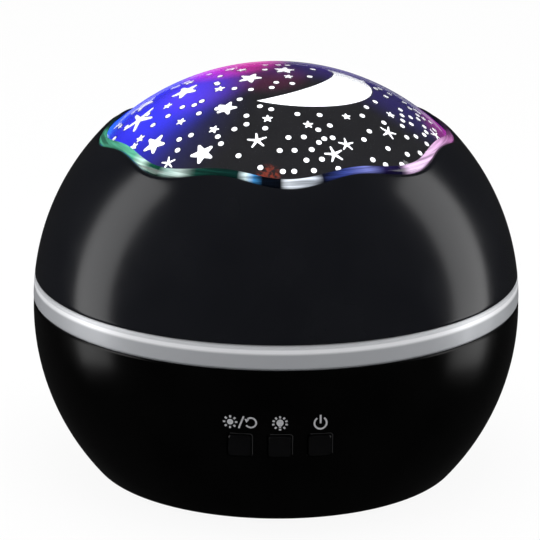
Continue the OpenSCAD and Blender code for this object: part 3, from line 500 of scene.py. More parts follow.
def makeButton(name, x, look, bowl):
    # stem, flange, then the cap, whose rings lie on spheres and draw in over its rounded edge
    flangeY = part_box(name)[1].y / mm - look["stem"][1]
    edge, thick = look["flange"]
    circle = np.radians(np.linspace(0, 360, 24, endpoint=False) + 7.5)
    stem = look["stem"][0] / 2 * np.stack([np.cos(circle), np.sin(circle)], axis=1)
    square = roundedSquare(look["width"] + 2 * edge, look["height"] + 2 * edge, look["windowCorner"])

    def flat(line, y):
        # the outline in the upright plane at depth y
        return np.stack([x + line[:, 0], np.full(len(line), y), look["z"] + line[:, 1]], axis=-1)

    capFoot = roundedSquare(look["width"], look["height"], look["corner"])
    rings = [flat(stem, flangeY + look["stem"][1]), flat(stem, flangeY), flat(square, flangeY),
             flat(square, flangeY - thick), flat(capFoot, flangeY - thick)]
    top = bowl["outer"] + look["proud"]
    for drop, inset in look["capRings"]:
        line = roundedSquare(look["width"] - 2 * inset, look["height"] - 2 * inset,
                             max(look["corner"] - inset / 2, 0.3))
        rings.append(onBowl(x + line[:, 0], look["z"] + line[:, 1], top + drop, bowl["centreZ"]))
    return loft(name.replace("button", "cap"), rings)


for key, x in zip(("spin", "lamp", "power"), buttonXs):
    cap = makeButton(key + "_button", x, buttons, baseBowl)
    dress(cap, key + "_key", capAbs, "black_shell", key + "_button")
print("buttons made")


# Cover, a dome shell whose opening has a wavy rim
coverShell = {
    "centreZ": 46.7,
    "outer": 65.0,
    "inner": 63.8,
    "innerLow": 63.0,
    "stepAngle": 53.5,
    "bottom": 54.3,
    "rimAngle": 45.85,
    "waveDeg": 1.35,
    "waves": 8,
    "waveTurn": 3,
    "lipRound": (1.1, 1.4),
    "chamfer": (0.15, 0.25),
}


def wave(look, turn):
    # cos(number of waves times the turn from where the first wave peaks)
    return np.cos(look["waves"] * (turn - math.radians(look["waveTurn"])))


def rimPolar(look, turn):
    # polar angle of the rim in degrees: a middle angle plus a cosine wave round the dome
    return look["rimAngle"] + look["waveDeg"] * wave(look, turn)


def onBall(radius, polar, turn, centreZ):
    # x = r sin p cos t, y = r sin p sin t, z = centre + r cos p
    return np.stack([radius * np.sin(polar) * np.cos(turn), radius * np.sin(polar) * np.sin(turn),
                     centreZ + radius * np.cos(polar)], axis=-1)


def coverGrid(look):
    # rows of (radius, polar angle): up the outside to the wavy rim, round its lip, down the upper
    # inner wall to the step, down the lower inner wall, and out over the bottom edge
    turn = np.linspace(0, 2 * math.pi, 2 * turns, endpoint=False)
    rim = np.radians(rimPolar(look, turn))
    lipR, lipAlong = look["lipRound"]
    lip = lipAlong / look["outer"]
    depth, (cutIn, cutUp) = look["bottom"] - look["centreZ"], look["chamfer"]
    bottomOut = math.acos((depth + cutUp) / look["outer"])
    rows = [(look["outer"], bottomOut + t * (rim + lip - bottomOut)) for t in np.linspace(0, 1, 48)]
    rows += [(look["outer"] - lipR * (1 - math.cos(t)), rim + lip * (1 - math.sin(t)))
             for t in np.radians(np.linspace(0, 90, 10))[1:]]
    step = math.radians(look["stepAngle"])
    rows += [(look["inner"], rim + t * (step - rim)) for t in (0, 0.5, 1)]
    bottomIn = math.acos(depth / look["innerLow"])
    rows += [(look["innerLow"], step + t * (bottomIn - step)) for t in np.linspace(0, 1, 20)]
    low = look["outer"] - cutIn
    rows.append((low, math.acos(depth / low)))
    radius = np.array([r for r, p in rows])[:, None]
    polar = np.array([np.broadcast_to(p, rim.shape) for r, p in rows])
    return onBall(radius, polar, turn, look["centreZ"])


coverPoints = coverGrid(coverShell)
cover = addMesh("cover_shell", coverPoints, gridFaces(*coverPoints.shape[:2], closedRows=True))
dress(cover, "cover", coverAbs, "black_shell", "upper_cover")
print("cover made")


# Silver ring between base and cover
silverRing = {
    "low": 47.5,
    "high": 54.3,
    "inner": 62.5,
    "outer": 65,
    "bevel": 0.9,
    "groove": (0.6, 0.6),
    "centreZ": 44.7,
    "topZ": 46.7,
    "curveEnd": 2.3,
}


def ringProfile(look):
    # inner wall, groove over the base, a side that runs on from the base's sphere to the cover's,
    # r = sqrt(R^2 - (z - centre)^2) for each, and a rounded shoulder
    low, high, bevel, outer = look["low"], look["high"], look["bevel"], look["outer"]
    grooveIn, grooveH = look["groove"]
    zs = np.linspace(low + grooveH + 0.12, high - bevel, 12)
    r = np.minimum(np.sqrt(outer ** 2 - (zs - look["centreZ"]).clip(0, look["curveEnd"]) ** 2),
                   np.sqrt(outer ** 2 - (zs - look["topZ"]).clip(0) ** 2))
    lowR = math.sqrt(outer ** 2 - (low - look["centreZ"]) ** 2)
    return np.concatenate([
        [[look["inner"], low], [lowR - grooveIn - 0.15, low], [lowR - grooveIn, low + 0.15],
         [lowR - grooveIn, low + grooveH - 0.1], [lowR - 0.1, low + grooveH]],
        np.stack([r, zs], axis=1),
        [[r[-1] - 0.1, high - bevel * 0.75], [r[-1] - 0.3, high - bevel * 0.35], [r[-1] - 0.7, high],
         [look["inner"], high]],
    ])


silver = turnedPiece("silver_ring", ringProfile(silverRing), 40)
dress(silver, "base", silverLacquer, "silver_trim", "silver_band")
print("ring made")


# Clear outer dome, and the bead that fills the rim
clearDome = {"domeZ": 45.45, "outer": 64.45, "inner": 63.86, "edge": 51.1}


def domeProfile(centreZ, outer, inner, edge, steps=64):
    # up the outer arc from the edge to the pole, and back down the inner arc
    return np.concatenate([arc(0, centreZ, outer, 90 - edge, 90, steps),
                           arc(0, centreZ, inner, 90, 90 - edge, steps)])


clearShell = turnedPiece("clear_shell", domeProfile(*clearDome.values()))
dress(clearShell, "cover", clearAcrylic, "clear_plastic", "clear_dome")

# Each colour has its angle round the dome, from -180 to 180, with -90 at the front. The colours are a
# painted glow in the LEDs' colours, and the palest of them are painted glints
rimBead = {
    "foot": 63.9,
    "height": 0.65,
    "width": 2.45,
    "widthWave": 0.35,
    "gap": 0.05,
    "colours": [
        (-180, "#3f8f74"), (-146, "#57a88a"), (-141, "#c8eadd"), (-137, "#14523f"), (-132, "#0c3b2d"),
        (-129, "#8faea6"), (-124, "#b8ccc6"), (-119, "#17463c"), (-104, "#082a28"), (-101, "#e4fbff"),
        (-99, "#3f8fd0"), (-96, "#050b16"), (-90, "#04070f"), (-88, "#dfe6ef"), (-79, "#c3cbd8"),
        (-76, "#0e1226"), (-68, "#3b4a9a"), (-60, "#6d74b8"), (-54, "#1b1440"), (-47, "#160f33"),
        (-44, "#e6c4ec"), (-27, "#e2b8e2"), (-6, "#b06aa8"), (6, "#3c2444"), (16, "#121216"),
        (44, "#121216"), (90, "#24246c"), (136, "#101416"), (164, "#101416"), (174, "#1c3c38"),
        (180, "#3f8f74"),
    ],
}


def beadGrid(look, shell):
    # half-round section set along the wavy rim; its width breathes with the wave
    turn = np.linspace(0, 2 * math.pi, 2 * turns, endpoint=False)
    rim = np.radians(rimPolar(shell, turn))
    width = look["width"] + look["widthWave"] * wave(shell, turn)
    t = np.linspace(0, math.pi, 12)
    across = (1 - np.sign(np.cos(t)) * np.abs(np.cos(t)) ** 0.8) / 2
    lift = np.abs(np.sin(t)) ** 0.7
    polar = rim - (look["gap"] + across[:, None] * width) / shell["outer"]
    radius = (look["foot"] + look["height"] * lift)[:, None]
    return onBall(radius, polar, turn, shell["centreZ"])


beadPoints = beadGrid(rimBead, coverShell)
bead = addMesh("rim_bead", beadPoints, gridFaces(*beadPoints.shape[:2], closedRows=True))
dress(bead, "cover", makeRimAcrylic(rimBead["colours"]), "clear_plastic", "wave_trim")
print("clear dome and bead made")


# Film with the printed sky
filmLine = domeProfile(skyFilm["domeZ"], skyFilm["radius"], skyFilm["radius"] - skyFilm["thickness"],
                       skyFilm["edge"], 72)
film = turnedPiece("sky_dome", filmLine)
dress(film, "turning_dome", skyPrint, "star_print", "star_film")


# Windows in the print. A star is (azimuth, polar, first tip's angle, size in mm), a dot is
# (azimuth, polar), and the moon is what a first circle holds outside a second, each (azimuth, polar,
# radius) in degrees. Tops, outline and wall are in mm
skyWindows = {
    "fatStars": [(-85.5, 22.6, 32, 4), (-54.9, 38.3, 3, 3.5), (-30.7, 37.6, -23, 3.4),
                 (-107, 35.6, 38, 4), (-34.4, 22.2, 55, 3.0), (-59, 7.7, 2, 3.3), (142, 2.7, 2, 2.9)],
    "thinStars": [(-81.6, 35.4, 11, 5.4), (-42.3, 41.9, 84, 2.2), (-9.8, 32.1, 97, 2.8),
                  (21.5, 36.9, 116, 2.8), (28.6, 34.5, 107, 2.3), (53.5, 33.9, 88, 2.6),
                  (83.4, 41.5, 60, 2.4)],
    "smallStars": [(-76, 28, 20, 1.45), (-53, 30, 10, 1.45), (-65.5, 38.5, 30, 1.45),
                   (-64.6, 41, 80, 1.45), (-32, 30, 5, 1.5), (-120, 26, 30, 1.45), (-61, 16, 15, 1.6),
                   (-6.5, 24.6, 90, 1.5), (15, 27, 100, 1.45), (-122, 10, 20, 1.45),
                   (-108, 22.7, 25, 1.5), (-136, 16, 10, 1.9), (34, 4.5, 80, 1.3), (39, 26, 110, 1.3),
                   (68, 30, 100, 1.4)],
    "dots": [(-100, 14), (-74, 15), (-93, 41), (-96, 46), (-85, 39), (-114, 27), (-102, 43), (-124, 20),
             (-167, 12), (-132, 4), (178, 11), (166, 11), (128, 11), (73, 8), (117, 24), (112, 28),
             (108, 30), (126, 20), (122, 21), (102, 25), (92, 27), (72, 25), (59, 25), (106, 34),
             (103, 38), (82, 31), (96, 34), (104, 37), (76, 32), (92, 36), (71, 33), (86, 36), (94, 38),
             (82, 38), (78, 39), (89, 41), (100, 41), (-57, 22), (-58, 24), (-64, 26), (-48, 26),
             (-65, 30), (-67, 34), (-41, 33), (-45, 35), (-42, 38), (-40, 23), (-78, 15), (-103, 44),
             (-99, 42), (-101, 47), (-84, 43), (-116, 29), (-81, 33), (-106, 39), (-13, 20), (-5, 21),
             (-19, 24), (-17, 27), (-7, 28), (-22, 29), (-28, 32), (-25, 34), (-16, 37), (-7, 40),
             (1, 41), (5, 41), (12, 41), (0, 35), (6, 35), (4, 31), (11, 31), (10, 38), (13, 35),
             (17, 33), (20, 32), (19, 29), (16, 38), (11, 23), (24, 24), (22, 9), (-3, 8), (-8, 11),
             (-30, 13), (-48, 14), (-31, 18), (26, 28), (24, 32), (49, 27), (57, 31), (44, 32),
             (38, 34), (46, 38), (53, 41), (60, 42), (64, 43), (36, 40), (40, 42), (47, 43), (21, 41),
             (61, 37), (67, 38), (74, 39), (66, 34), (74, 35), (69, 41), (81, 34)],
    "dotSize": 0.76,
    "moon": ((88, 4, 19.2), (-122, 11.7, 23.6)),
    "outline": 0.24,
    "top": 0.09,
    "outlineTop": 0.04,
    "wall": 0.1,
    "back": {"count": 255, "low": 50.5, "behind": 128, "below": 17, "foot": 48, "clear": 3.5},
}


eyePlace = np.array(cameraLook["target"]) + cameraLook["distance"] * towardsCamera


def throughWall(rays, sky, wall, index=1.49):
    # a mark drawn at a place on the film is moved to where the dome's wall lets it be seen there.
    # A line of sight passes the ball's centre at the distance b, and at b / n inside the wall, so
    # its angle turns by asin(b / outer) - asin(b / outer n) + asin(b / inner n) - asin(b / inner),
    # and by asin(b / film) - asin(b / drawn) for the film's own radius
    eye = eyePlace - np.array([0, 0, sky["domeZ"]])
    points = rays * sky["drawn"]
    sight = eye - points
    b = np.linalg.norm(np.cross(points, sight), axis=-1) / np.linalg.norm(sight, axis=-1)
    bends = [(1, wall["outer"]), (-1, wall["outer"] * index), (1, wall["inner"] * index),
             (-1, wall["inner"]), (1, sky["radius"]), (-1, sky["drawn"])]
    turn = sum(sign * np.arcsin(np.minimum(b / radius, 1)) for sign, radius in bends)
    axis = unit(eye)
    angle = np.arccos((rays @ axis).clip(-1, 1))
    side = unit(rays - np.cos(angle)[..., None] * axis)
    angle = angle + np.where(np.sum(points * sight, axis=-1) > 0, turn, 0)
    return np.cos(angle)[..., None] * axis + np.sin(angle)[..., None] * side


def tangents(normal, tip):
    # the tip's direction on the film, as the camera sees it at that angle, and the one across it
    right, back = np.array([1.0, 0, 0]), towardsCamera
    up = np.cross(back, right)
    t = np.radians(tip)
    want = np.cos(t)[:, None] * right + np.sin(t)[:, None] * up
    facing = normal @ back
    facing = np.where(np.abs(facing) < 0.2, np.where(facing < 0, -0.2, 0.2), facing)
    along = want - (np.sum(want * normal, axis=1) / facing)[:, None] * back
    along = unit(along - np.sum(along * normal, axis=1)[:, None] * normal)
    return along, np.cross(normal, along)


def starLine(valley, blunt):
    # five tips, each cut blunt by two shoulders, and five valleys; radii are shares of the tip's
    angles = (np.arange(5)[:, None] * 72 + np.array([-blunt, 0, blunt, 36])).ravel()
    radii = np.tile([0.9, 0.96, 0.9, valley], 5)
    return np.radians(angles), radii


def windowMesh(marks, angles, radii, grow, top, wall):
    # every mark is the same outline laid on the film: a low lid from its middle out to its edge,
    # a short wall down into the film, and a floor
    normal = throughWall(direction(marks[:, 0], marks[:, 1]), skyFilm, clearDome)
    along, across = tangents(normal, marks[:, 2])
    lines, tops = np.array([0, 0.55, 1, 1, 0]), np.array([top, top, top, -wall, -wall])
    reach = lines[None, :, None] * (marks[:, 3][:, None, None] * radii[None, None, :] + grow)
    u, v = (reach * np.cos(angles))[..., None], (reach * np.sin(angles))[..., None]
    radius = skyFilm["radius"]
    rays = unit(normal[:, None, None] + (u * along[:, None, None] + v * across[:, None, None]) / radius)
    points = rays * (radius + tops)[None, :, None, None] + np.array([0, 0, skyFilm["domeZ"]])
    one = gridFaces(len(lines), len(angles))
    faces = (one[None] + (np.arange(len(marks)) * len(lines) * len(angles))[:, None, None]).reshape(-1, 4)
    return points.reshape(-1, 3), faces


def moonMesh(pair, grow, top, wall, steps=40, strips=9):
    # strips between the outer circle's arc and the inner circle's arc, both cut where the circles
    # cross. A circle on the ball is cos(size) times its centre plus sin(size) times a turning line
    (outerA, outerP, outerSize), (innerA, innerP, innerSize) = pair
    outerC, innerC = direction(outerA, outerP), direction(innerA, innerP)
    radius = skyFilm["radius"]
    outerR, innerR = np.radians(outerSize) + grow / radius, np.radians(innerSize) - grow / radius

    def ringAt(centre, size, mark, a):
        # the turning line starts towards the mark, e, and turns through a towards f
        e = unit(mark - (mark @ centre) * centre)
        f = np.cross(centre, e)
        return np.cos(size) * centre + np.sin(size) * (np.cos(a)[:, None] * e + np.sin(a)[:, None] * f)

    full = np.linspace(-math.pi, math.pi, 2881)
    outerRing = ringAt(outerC, outerR, innerC, full)
    innerRing = ringAt(innerC, innerR, outerC, full)
    outerHalf = np.abs(full[outerRing @ innerC > math.cos(innerR)]).max()
    innerHalf = np.abs(full[innerRing @ outerC > math.cos(outerR)]).max()
    t = np.linspace(0, 1, steps)
    t = t * t * (3 - 2 * t)
    outerArc = ringAt(outerC, outerR, innerC, outerHalf + t * 2 * (math.pi - outerHalf))
    innerArc = ringAt(innerC, innerR, outerC, -innerHalf + t * 2 * innerHalf)
    fromStart = np.linalg.norm(innerArc[[0, -1]] - outerArc[0], axis=1)
    innerArc = innerArc if fromStart[0] < fromStart[1] else innerArc[::-1]
    s = np.linspace(0, 1, strips)[:, None, None]
    sheet = (1 - s) * outerArc + s * innerArc
    sheet = throughWall(unit(sheet), skyFilm, clearDome)
    grid = np.concatenate([sheet * (radius + top), sheet[::-1] * (radius - wall)])
    grid = grid + np.array([0, 0, skyFilm["domeZ"]])
    return grid.reshape(-1, 3), gridFaces(2 * strips, steps, closedRows=True, closedColumns=False)


def backDots(look):
    # golden-angle spiral, cos p = 1 - (n / count)(1 - cos low), kept on the film's hidden side and
    # foot where it is clear of every mark in front
    back = look["back"]
    n = np.arange(back["count"])
    azimuth = (n * 137.508) % 360 - 180
    polar = np.degrees(np.arccos(1 - n / back["count"] * (1 - math.cos(math.radians(back["low"])))))
    hidden = ((np.abs(azimuth) > back["behind"]) & (polar > back["below"])) | (polar > back["foot"])
    spots = np.stack([azimuth, polar], axis=1)[hidden]
    drawn = look["fatStars"] + look["thinStars"] + look["smallStars"] + look["dots"]
    front = np.array([mark[:2] for mark in drawn], float)
    near = (direction(*spots.T) @ direction(*front.T).T).max(axis=1)
    return spots[near < math.cos(math.radians(back["clear"]))]


def joined(parts):
    # several (points, faces) as one, each part's faces renumbered after the points before it
    starts = np.cumsum([0] + [len(points) for points, faces in parts])
    return (np.concatenate([points for points, faces in parts]),
            np.concatenate([faces + start for (points, faces), start in zip(parts, starts)]))


def makeWindows(name, look, material, grow, top):
    # every ninth mark at the back is a star of one of three sizes, the others are dots
    spots = backDots(look)
    stars = spots[::9]
    rows = np.concatenate([np.array(look["dots"], float), np.delete(spots, np.s_[::9], axis=0)])
    count, one = np.arange(len(stars))[:, None], np.ones((len(rows), 1))
    dots = np.concatenate([rows, 0 * one, look["dotSize"] * one], axis=1)
    backStars = np.concatenate([stars, 17 * count, 1.4 + count % 3], axis=1)
    circle = np.radians(np.linspace(0, 360, 12, endpoint=False))
    sets = [
        (np.array(look["fatStars"] + look["smallStars"] + backStars.tolist()), *starLine(0.46, 7)),
        (np.array(look["thinStars"]), *starLine(0.24, 5)),
        (dots, circle, np.ones(12)),
    ]
    parts = [windowMesh(marks, angles, radii, grow, top, look["wall"]) for marks, angles, radii in sets]
    parts.append(moonMesh(look["moon"], grow, top, look["wall"]))
    dress(addMesh(name, *joined(parts), 60), "turning_dome", material, "star_print")


def makeInk(name, shades, rough, grain):
    # pad-printed ink: flat, dull, slightly uneven
    material, tree, shader, place = startMaterial(name, {"Specular IOR Level": 0.3})
    vary(tree, shader, place, grain, rough, shades)
    return material


outlineInk = makeInk("outlineInk", ("#0c0c10", "#141418"), (0.6, 0.7), 1.0)
makeWindows("sky_windows", skyWindows, litWindow, 0, skyWindows["top"])
makeWindows("window_outlines", skyWindows, outlineInk, skyWindows["outline"], skyWindows["outlineTop"])
print("sky made")


# Symbols over the buttons. Strokes are in mm on the bowl, x to the right and z up from each centre
symbols = {
    "z": 33.4,
    "stroke": 0.44,
    "edge": 0.24,
    "lift": 0.05,
    "sink": 0.04,
    "bend": 0.8,
    "edgeLift": 0.02,
    "sunX": -12.65,
    "slashX": -9.85,
    "turnX": -7.4,
    "bulbX": 0.0,
    "powerX": 10.3,
}


def arcLine(radius, start, end, steps=28, stretch=1.0, centre=(0, 0)):
    # x = r cos a, z = stretch r sin a, about the centre
    a = np.radians(np.linspace(start, end, steps))
    return np.stack([centre[0] + radius * np.cos(a), centre[1] + radius * stretch * np.sin(a)], axis=1)


def spokes(angles, near, far):
    # short straight lines outwards, from the near radius to the far one
    return [np.outer((near, far), (math.cos(a), math.sin(a))) for a in np.radians(angles)]


def strokeMesh(line, width, look, bowl, x):
    # a ribbon of that width along the line, with square ends and a low box section
    step = np.gradient(line, axis=0)
    side = unit(np.stack([-step[:, 1], step[:, 0]], axis=1))
    left, right = line + side * width / 2, line - side * width / 2
    low, high = bowl["outer"] - look["sink"], bowl["outer"] + look["lift"]
    rows = [(left, low), (left, high), (right, high), (right, low)]
    grid = np.stack([onBowl(x + p[:, 0], look["z"] + p[:, 1], r, bowl["centreZ"]) for p, r in rows], axis=1)
    ends = np.array([np.arange(4), 4 * len(line) - 4 + np.arange(4)])
    return grid.reshape(-1, 3), np.concatenate([gridFaces(len(line), 4), ends])


def patchMesh(line, look, bowl, x):
    # a filled outline: rings from its middle to its edge, then down its wall and back
    middle = line.mean(axis=0)
    low, high = bowl["outer"] - look["sink"], bowl["outer"] + look["lift"]
    rows = [(0, high), (0.5, high), (1, high), (1, low), (0, low)]
    shrunk = [middle + share * (line - middle) for share, r in rows]
    grid = np.stack([onBowl(x + p[:, 0], look["z"] + p[:, 1], r, bowl["centreZ"])
                     for p, (share, r) in zip(shrunk, rows)])
    return grid.reshape(-1, 3), gridFaces(*grid.shape[:2])


def makeSymbols(look, bowl):
    # a sun, a slash and a turning arrow, then a shining bulb, then a power sign
    w = look["stroke"]
    strokes = [(line, w * 1.15, look["sunX"]) for line in spokes(range(0, 360, 45), 1.22, 1.85)]
    strokes += [
        ([[-0.62, -1.7], [0.62, 1.75]], w, look["slashX"]),
        (arcLine(1.36, -146, 128), w, look["turnX"]),
        ([[0, -1.12], [0, -1.35]], 0.55, look["bulbX"]),
        ([[0, -1.6], [0, -2.05]], 0.62, look["bulbX"]),
    ]
    shine = spokes([90, 54, 20, -12, -50, 126, 160, 192, 230], 1.42, 2.02)
    strokes += [(line, w * 1.1, look["bulbX"]) for line in shine]
    strokes += [
        (arcLine(1.55, -236, 56, 40, 1.08, (0, -0.2)), w * 1.05, look["powerX"]),
        ([[0, -0.3], [0, 2.1]], w * 1.1, look["powerX"]),
    ]
    bulb = np.concatenate([arcLine(0.9, -38, 218, 20, 1.05, (0, 0.12)), [[-0.3, -0.95], [0.3, -0.95]]])
    arrow = np.array([[-1.62, 1.05], [-0.42, 0.86], [-1.12, -0.02]])
    patches = [(arcLine(0.78, 0, 345, 24), look["sunX"]), (arrow, look["turnX"]), (bulb, look["bulbX"])]
    parts = [strokeMesh(np.array(line), width, look, bowl, x) for line, width, x in strokes]
    parts += [patchMesh(line, look, bowl, x) for line, x in patches]
    return addMesh("button_symbols", *joined(parts), 40)


def makeEdgeHighlights(look, buttonLook, bowl):
    # a painted highlight on the edge of each window: a lighter hair line along its top and its right side
    bend = look["bend"]
    half = np.array([buttonLook["width"], buttonLook["height"]]) / 2 + buttonLook["gap"] + look["edge"] / 2
    line = np.concatenate([[[bend - half[0], half[1]]], arcLine(bend, 90, 0, 8, 1.0, half - bend),
                           [[half[0], bend - half[1]]]])
    place = {"z": buttonLook["z"], "lift": look["edgeLift"], "sink": look["sink"]}
    parts = [strokeMesh(line, look["edge"], place, bowl, x) for x in buttonXs]
    return addMesh("window_edge_highlights", *joined(parts), 40)


# a lighter copy of the black ABS: the painted highlight on the windows' edges
edgeHighlightAbs = makeGlossAbs("edgeHighlightAbs", ("#232324", "#2b2b2c"), 0.3, (0.3, 0.36))
dress(makeEdgeHighlights(symbols, buttons, baseBowl), "base", edgeHighlightAbs, "black_shell")
symbolInk = makeInk("symbolInk", ("#8f8f92", "#a9a9ac"), (0.55, 0.7), 0.8)
dress(makeSymbols(symbols, baseBowl), "base", symbolInk, "silver_trim")
print("symbols made")


# Rubber feet with a rounded rim and a shallow dish underneath
feet = {"ring": 36, "radius": 5.0, "round": 0.6, "dish": 0.25, "dishRadii": (0.55, 0.68)}


def makeFeet(look):
    # a dished disc's profile turned round, four times on a ring; the dish's radii are shares
    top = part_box("rubber_feet")[1].z / mm
    r, e = look["radius"], look["round"]
    flat, end = look["dishRadii"]
    profile = np.concatenate([[[0, look["dish"]], [r * flat, look["dish"]], [r * end, 0]],
                              arc(r - e, e, e, -90, 0, 6), [[r, top], [0, top]]])
    points, faces = turned(profile, 48).reshape(-1, 3), gridFaces(len(profile), 48)
    centres = look["ring"] * np.array([[1, 0, 0], [0, 1, 0], [-1, 0, 0], [0, -1, 0]])
    return addMesh("foot_pads", *joined([(points + centre, faces) for centre in centres]))


def makeRubber():
    # moulded thermoplastic rubber: dull black, with a fine matt skin
    material, tree, shader, place = startMaterial("rubber", {"IOR": 1.52, "Specular IOR Level": 0.35})
    vary(tree, shader, place, 0.6, (0.75, 0.9), ("#161616", "#222222"), bump=0.03)
    return material


rubber = makeRubber()
dress(makeFeet(feet), "base", rubber, "rubber_foot", "rubber_feet")
print("feet made")


# Finishes of the nodes that keep their own shape, by material slot

def makePlastic(name, shades, rough, size, bump, sockets=()):
    # moulded plastic: an even colour, with the skin's grain of that size in mm
    material, tree, shader, place = startMaterial(name, {"IOR": 1.5, **dict(sockets)})
    vary(tree, shader, place, size, rough, shades, bump=bump)
    return material


def makeMetal(name, shades, rough, size, stretch=(1, 1, 1)):
    # plated or rolled steel: tight grain stretched along the roll
    material, tree, shader, place = startMaterial(name, {"Metallic": 1.0})
    vary(tree, shader, place, size, rough, shades, bump=0.004, stretch=stretch)
    return material


def makeBoard():
    # green solder mask over copper: tracks show as slightly paler, raised lines
    material, tree, shader, place = startMaterial("solderMask", {"IOR": 1.5, "Roughness": 0.3})
    tracks = addNode(tree, "ShaderNodeTexBrick",
                     {"Scale": 1 / (9 * mm), "Color1": linear("#0d4a22"), "Color2": linear("#0e5226"),
                      "Mortar": linear("#2c7a3c"), "Mortar Size": 0.03, "Mortar Smooth": 0.2},
                     {"Vector": place})
    lift = addNode(tree, "ShaderNodeBump", {"Strength": 0.6, "Distance": 0.05 * mm},
                   {"Height": tracks.outputs[1]})
    tree.links.new(tracks.outputs[0], shader.inputs["Base Color"])
    tree.links.new(lift.outputs[0], shader.inputs["Normal"])
    return material


def makeLens(name, colour, glow):
    # cast epoxy LED lens, glossy and part clear, lit from inside
    material, tree, shader, place = startMaterial(
        name, {"Base Color": linear(colour), "IOR": 1.53, "Transmission Weight": 0.6,
               "Emission Strength": glow, "Emission Color": linear(colour)})
    vary(tree, shader, place, 1.5, (0.08, 0.16))
    return material


finishes = {
    "black_shell": baseAbsShaded,
    "silver_trim": silverLacquer,
    "clear_plastic": clearAcrylic,
    "star_plastic": makePlastic("smokyStyrene", ("#202024", "#2a2a30"), (0.2, 0.3), 8, 0.005),
    "star_print": skyPrint,
    "dark_plastic": makePlastic("texturedAbs", ("#101012", "#18181a"), (0.5, 0.62), 0.4, 0.02),
    "white_plastic": makePlastic("acetal", ("#e4e4de", "#eeeee8"), (0.35, 0.45), 3, 0.005,
                                 {"Subsurface Weight": 0.05, "Subsurface Scale": 0.002}),
    "rubber_foot": rubber,
    "steel": makeMetal("zincSteel", ("#a9aaad", "#c4c5c8"), (0.28, 0.4), 1.2),
    "motor_case": makeMetal("motorSteel", ("#9b9da0", "#b7b8ba"), (0.3, 0.42), 2.0, (1, 1, 4)),
    "cell_case": makePlastic("cellSleeve", ("#1c2b56", "#22356a"), (0.25, 0.35), 5, 0.002),
    "circuit_board": makeBoard(),
    "led_clear": makeLens("clearEpoxy", "#f4f8ff", 0.6),
    "led_red_lens": makeLens("redEpoxy", "#ff3a2a", 0.6),
    "led_green_lens": makeLens("greenEpoxy", "#35e05a", 0.6),
    "led_blue_lens": makeLens("blueEpoxy", "#2f52ff", 0.6),
    "wire_cover": makePlastic("vinylWire", ("#8c1f1c", "#a02723"), (0.4, 0.5), 2, 0.004),
}
for part in frame["record"]["subparts"]:
    piece = nodes[part["node"]]
    piece.data.materials.clear()
    piece.data.materials.append(finishes[part["material_slot"]])
print("finishes set")


# Floor, world and lamps. A lamp is (middle, long way, width, length, level, seen in mirrors)
studio = {
    "centre": (0, 0, 50),
    "floor": "#f4f4f4",
    "floorGlow": 0.92,
    "world": 0.62,
    "glossy": 0.02,
    "floorSize": 3000,
    "lamps": {
        "leftBox": ((-578, 36, 185), (0.2, 0.06, 0.97), 250, 790, 3.0, True),
        "rightBox": ((570, 94, 163), (-0.2, 0.03, 0.97), 282, 745, 2.6, True),
        "topBox": ((0, -100, 900), (0, 1, 0), 600, 600, 3.2, False),
    },
}


def addBounces(tree):
    # reflections so far: all the bounces less those straight through clear plastic
    path = addNode(tree, "ShaderNodeLightPath")
    depths = {0: path.outputs["Ray Depth"], 1: path.outputs["Transmission Depth"]}
    return path, addNode(tree, "ShaderNodeMath", links=depths, operation="SUBTRACT").outputs[0]


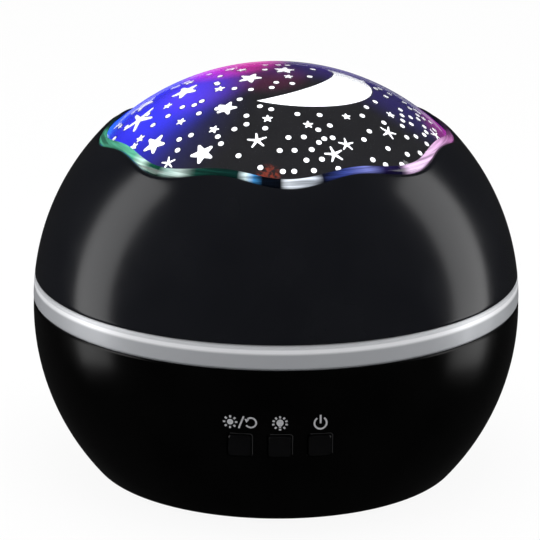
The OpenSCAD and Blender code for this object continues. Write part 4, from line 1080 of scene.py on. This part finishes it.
def makeFloor(look):
    # a pale sheet: the camera sees mostly its own even white, with the shadow mixed in, and
    # glossy plastic doesn't mirror it
    corners = look["floorSize"] * np.array([[-1, -1, 0], [1, -1, 0], [1, 1, 0], [-1, 1, 0]], float)
    mesh = bpy.data.meshes.new("floor")
    mesh.from_pydata((corners * mm).tolist(), [], [[0, 1, 2, 3]])
    floor = bpy.data.objects.new("floor", mesh)
    floor.visible_glossy = False
    bpy.context.scene.collection.objects.link(floor)
    material, tree, shader, place = startMaterial(
        "paleFloor", {"Base Color": linear(look["floor"]), "Roughness": 0.9, "Specular IOR Level": 0.0})
    path, bounces = addBounces(tree)
    glow = addNode(tree, "ShaderNodeEmission", {"Color": (1, 1, 1, 1), "Strength": 1.0})
    share = addNode(tree, "ShaderNodeMapRange", {3: look["floorGlow"], 4: 0.0}, {0: bounces})
    mix = addNode(tree, "ShaderNodeMixShader",
                  links={0: share.outputs[0], 1: shader.outputs[0], 2: glow.outputs[0]})
    end = next(n for n in tree.nodes if n.type == "OUTPUT_MATERIAL")
    tree.links.new(mix.outputs[0], end.inputs[0])
    mesh.materials.append(material)


def makeWorld(look):
    # white to the camera and through clear plastic, a low level in mirrors, so that black stays
    # black, and the light's own level after a matt bounce. The world counts one bounce more than
    # a surface does
    world = bpy.data.worlds.new("studio")
    world.use_nodes = True
    tree = world.node_tree
    tree.nodes.clear()
    path, bounces = addBounces(tree)
    mirrored = addNode(tree, "ShaderNodeMapRange", {1: 1.0, 2: 2.0, 3: 1.0, 4: look["glossy"]}, {0: bounces})
    strength = addNode(tree, "ShaderNodeMapRange", {4: look["world"]},
                       {0: path.outputs["Diffuse Depth"], 3: mirrored.outputs[0]})
    back = addNode(tree, "ShaderNodeBackground", {"Color": (1, 1, 1, 1)}, {"Strength": strength.outputs[0]})
    addNode(tree, "ShaderNodeOutputWorld", links={0: back.outputs[0]})
    bpy.context.scene.world = world


def softbox(name, centre, middle, longWay, width, length, level, mirrored):
    # an even panel that faces the globe: its power is its level times pi times its area
    middle, centre = Vector(middle), Vector(centre)
    z = (middle - centre).normalized()
    y = Vector(longWay)
    y = (y - y.dot(z) * z).normalized()
    data = bpy.data.lights.new(name, "AREA")
    data.shape, data.size, data.size_y = "RECTANGLE", width * mm, length * mm
    data.energy = level * math.pi * data.size * data.size_y
    lamp = bpy.data.objects.new(name, data)
    lamp.matrix_world = Matrix((y.cross(z), y, z)).transposed().to_4x4()
    lamp.location = middle * mm
    lamp.visible_camera, lamp.visible_transmission, lamp.visible_glossy = False, False, mirrored
    bpy.context.scene.collection.objects.link(lamp)


makeFloor(studio)
makeWorld(studio)
for name, settings in studio["lamps"].items():
    softbox(name, studio["centre"], *settings)
bpy.context.scene.view_settings.view_transform = "Standard"
print("studio set")
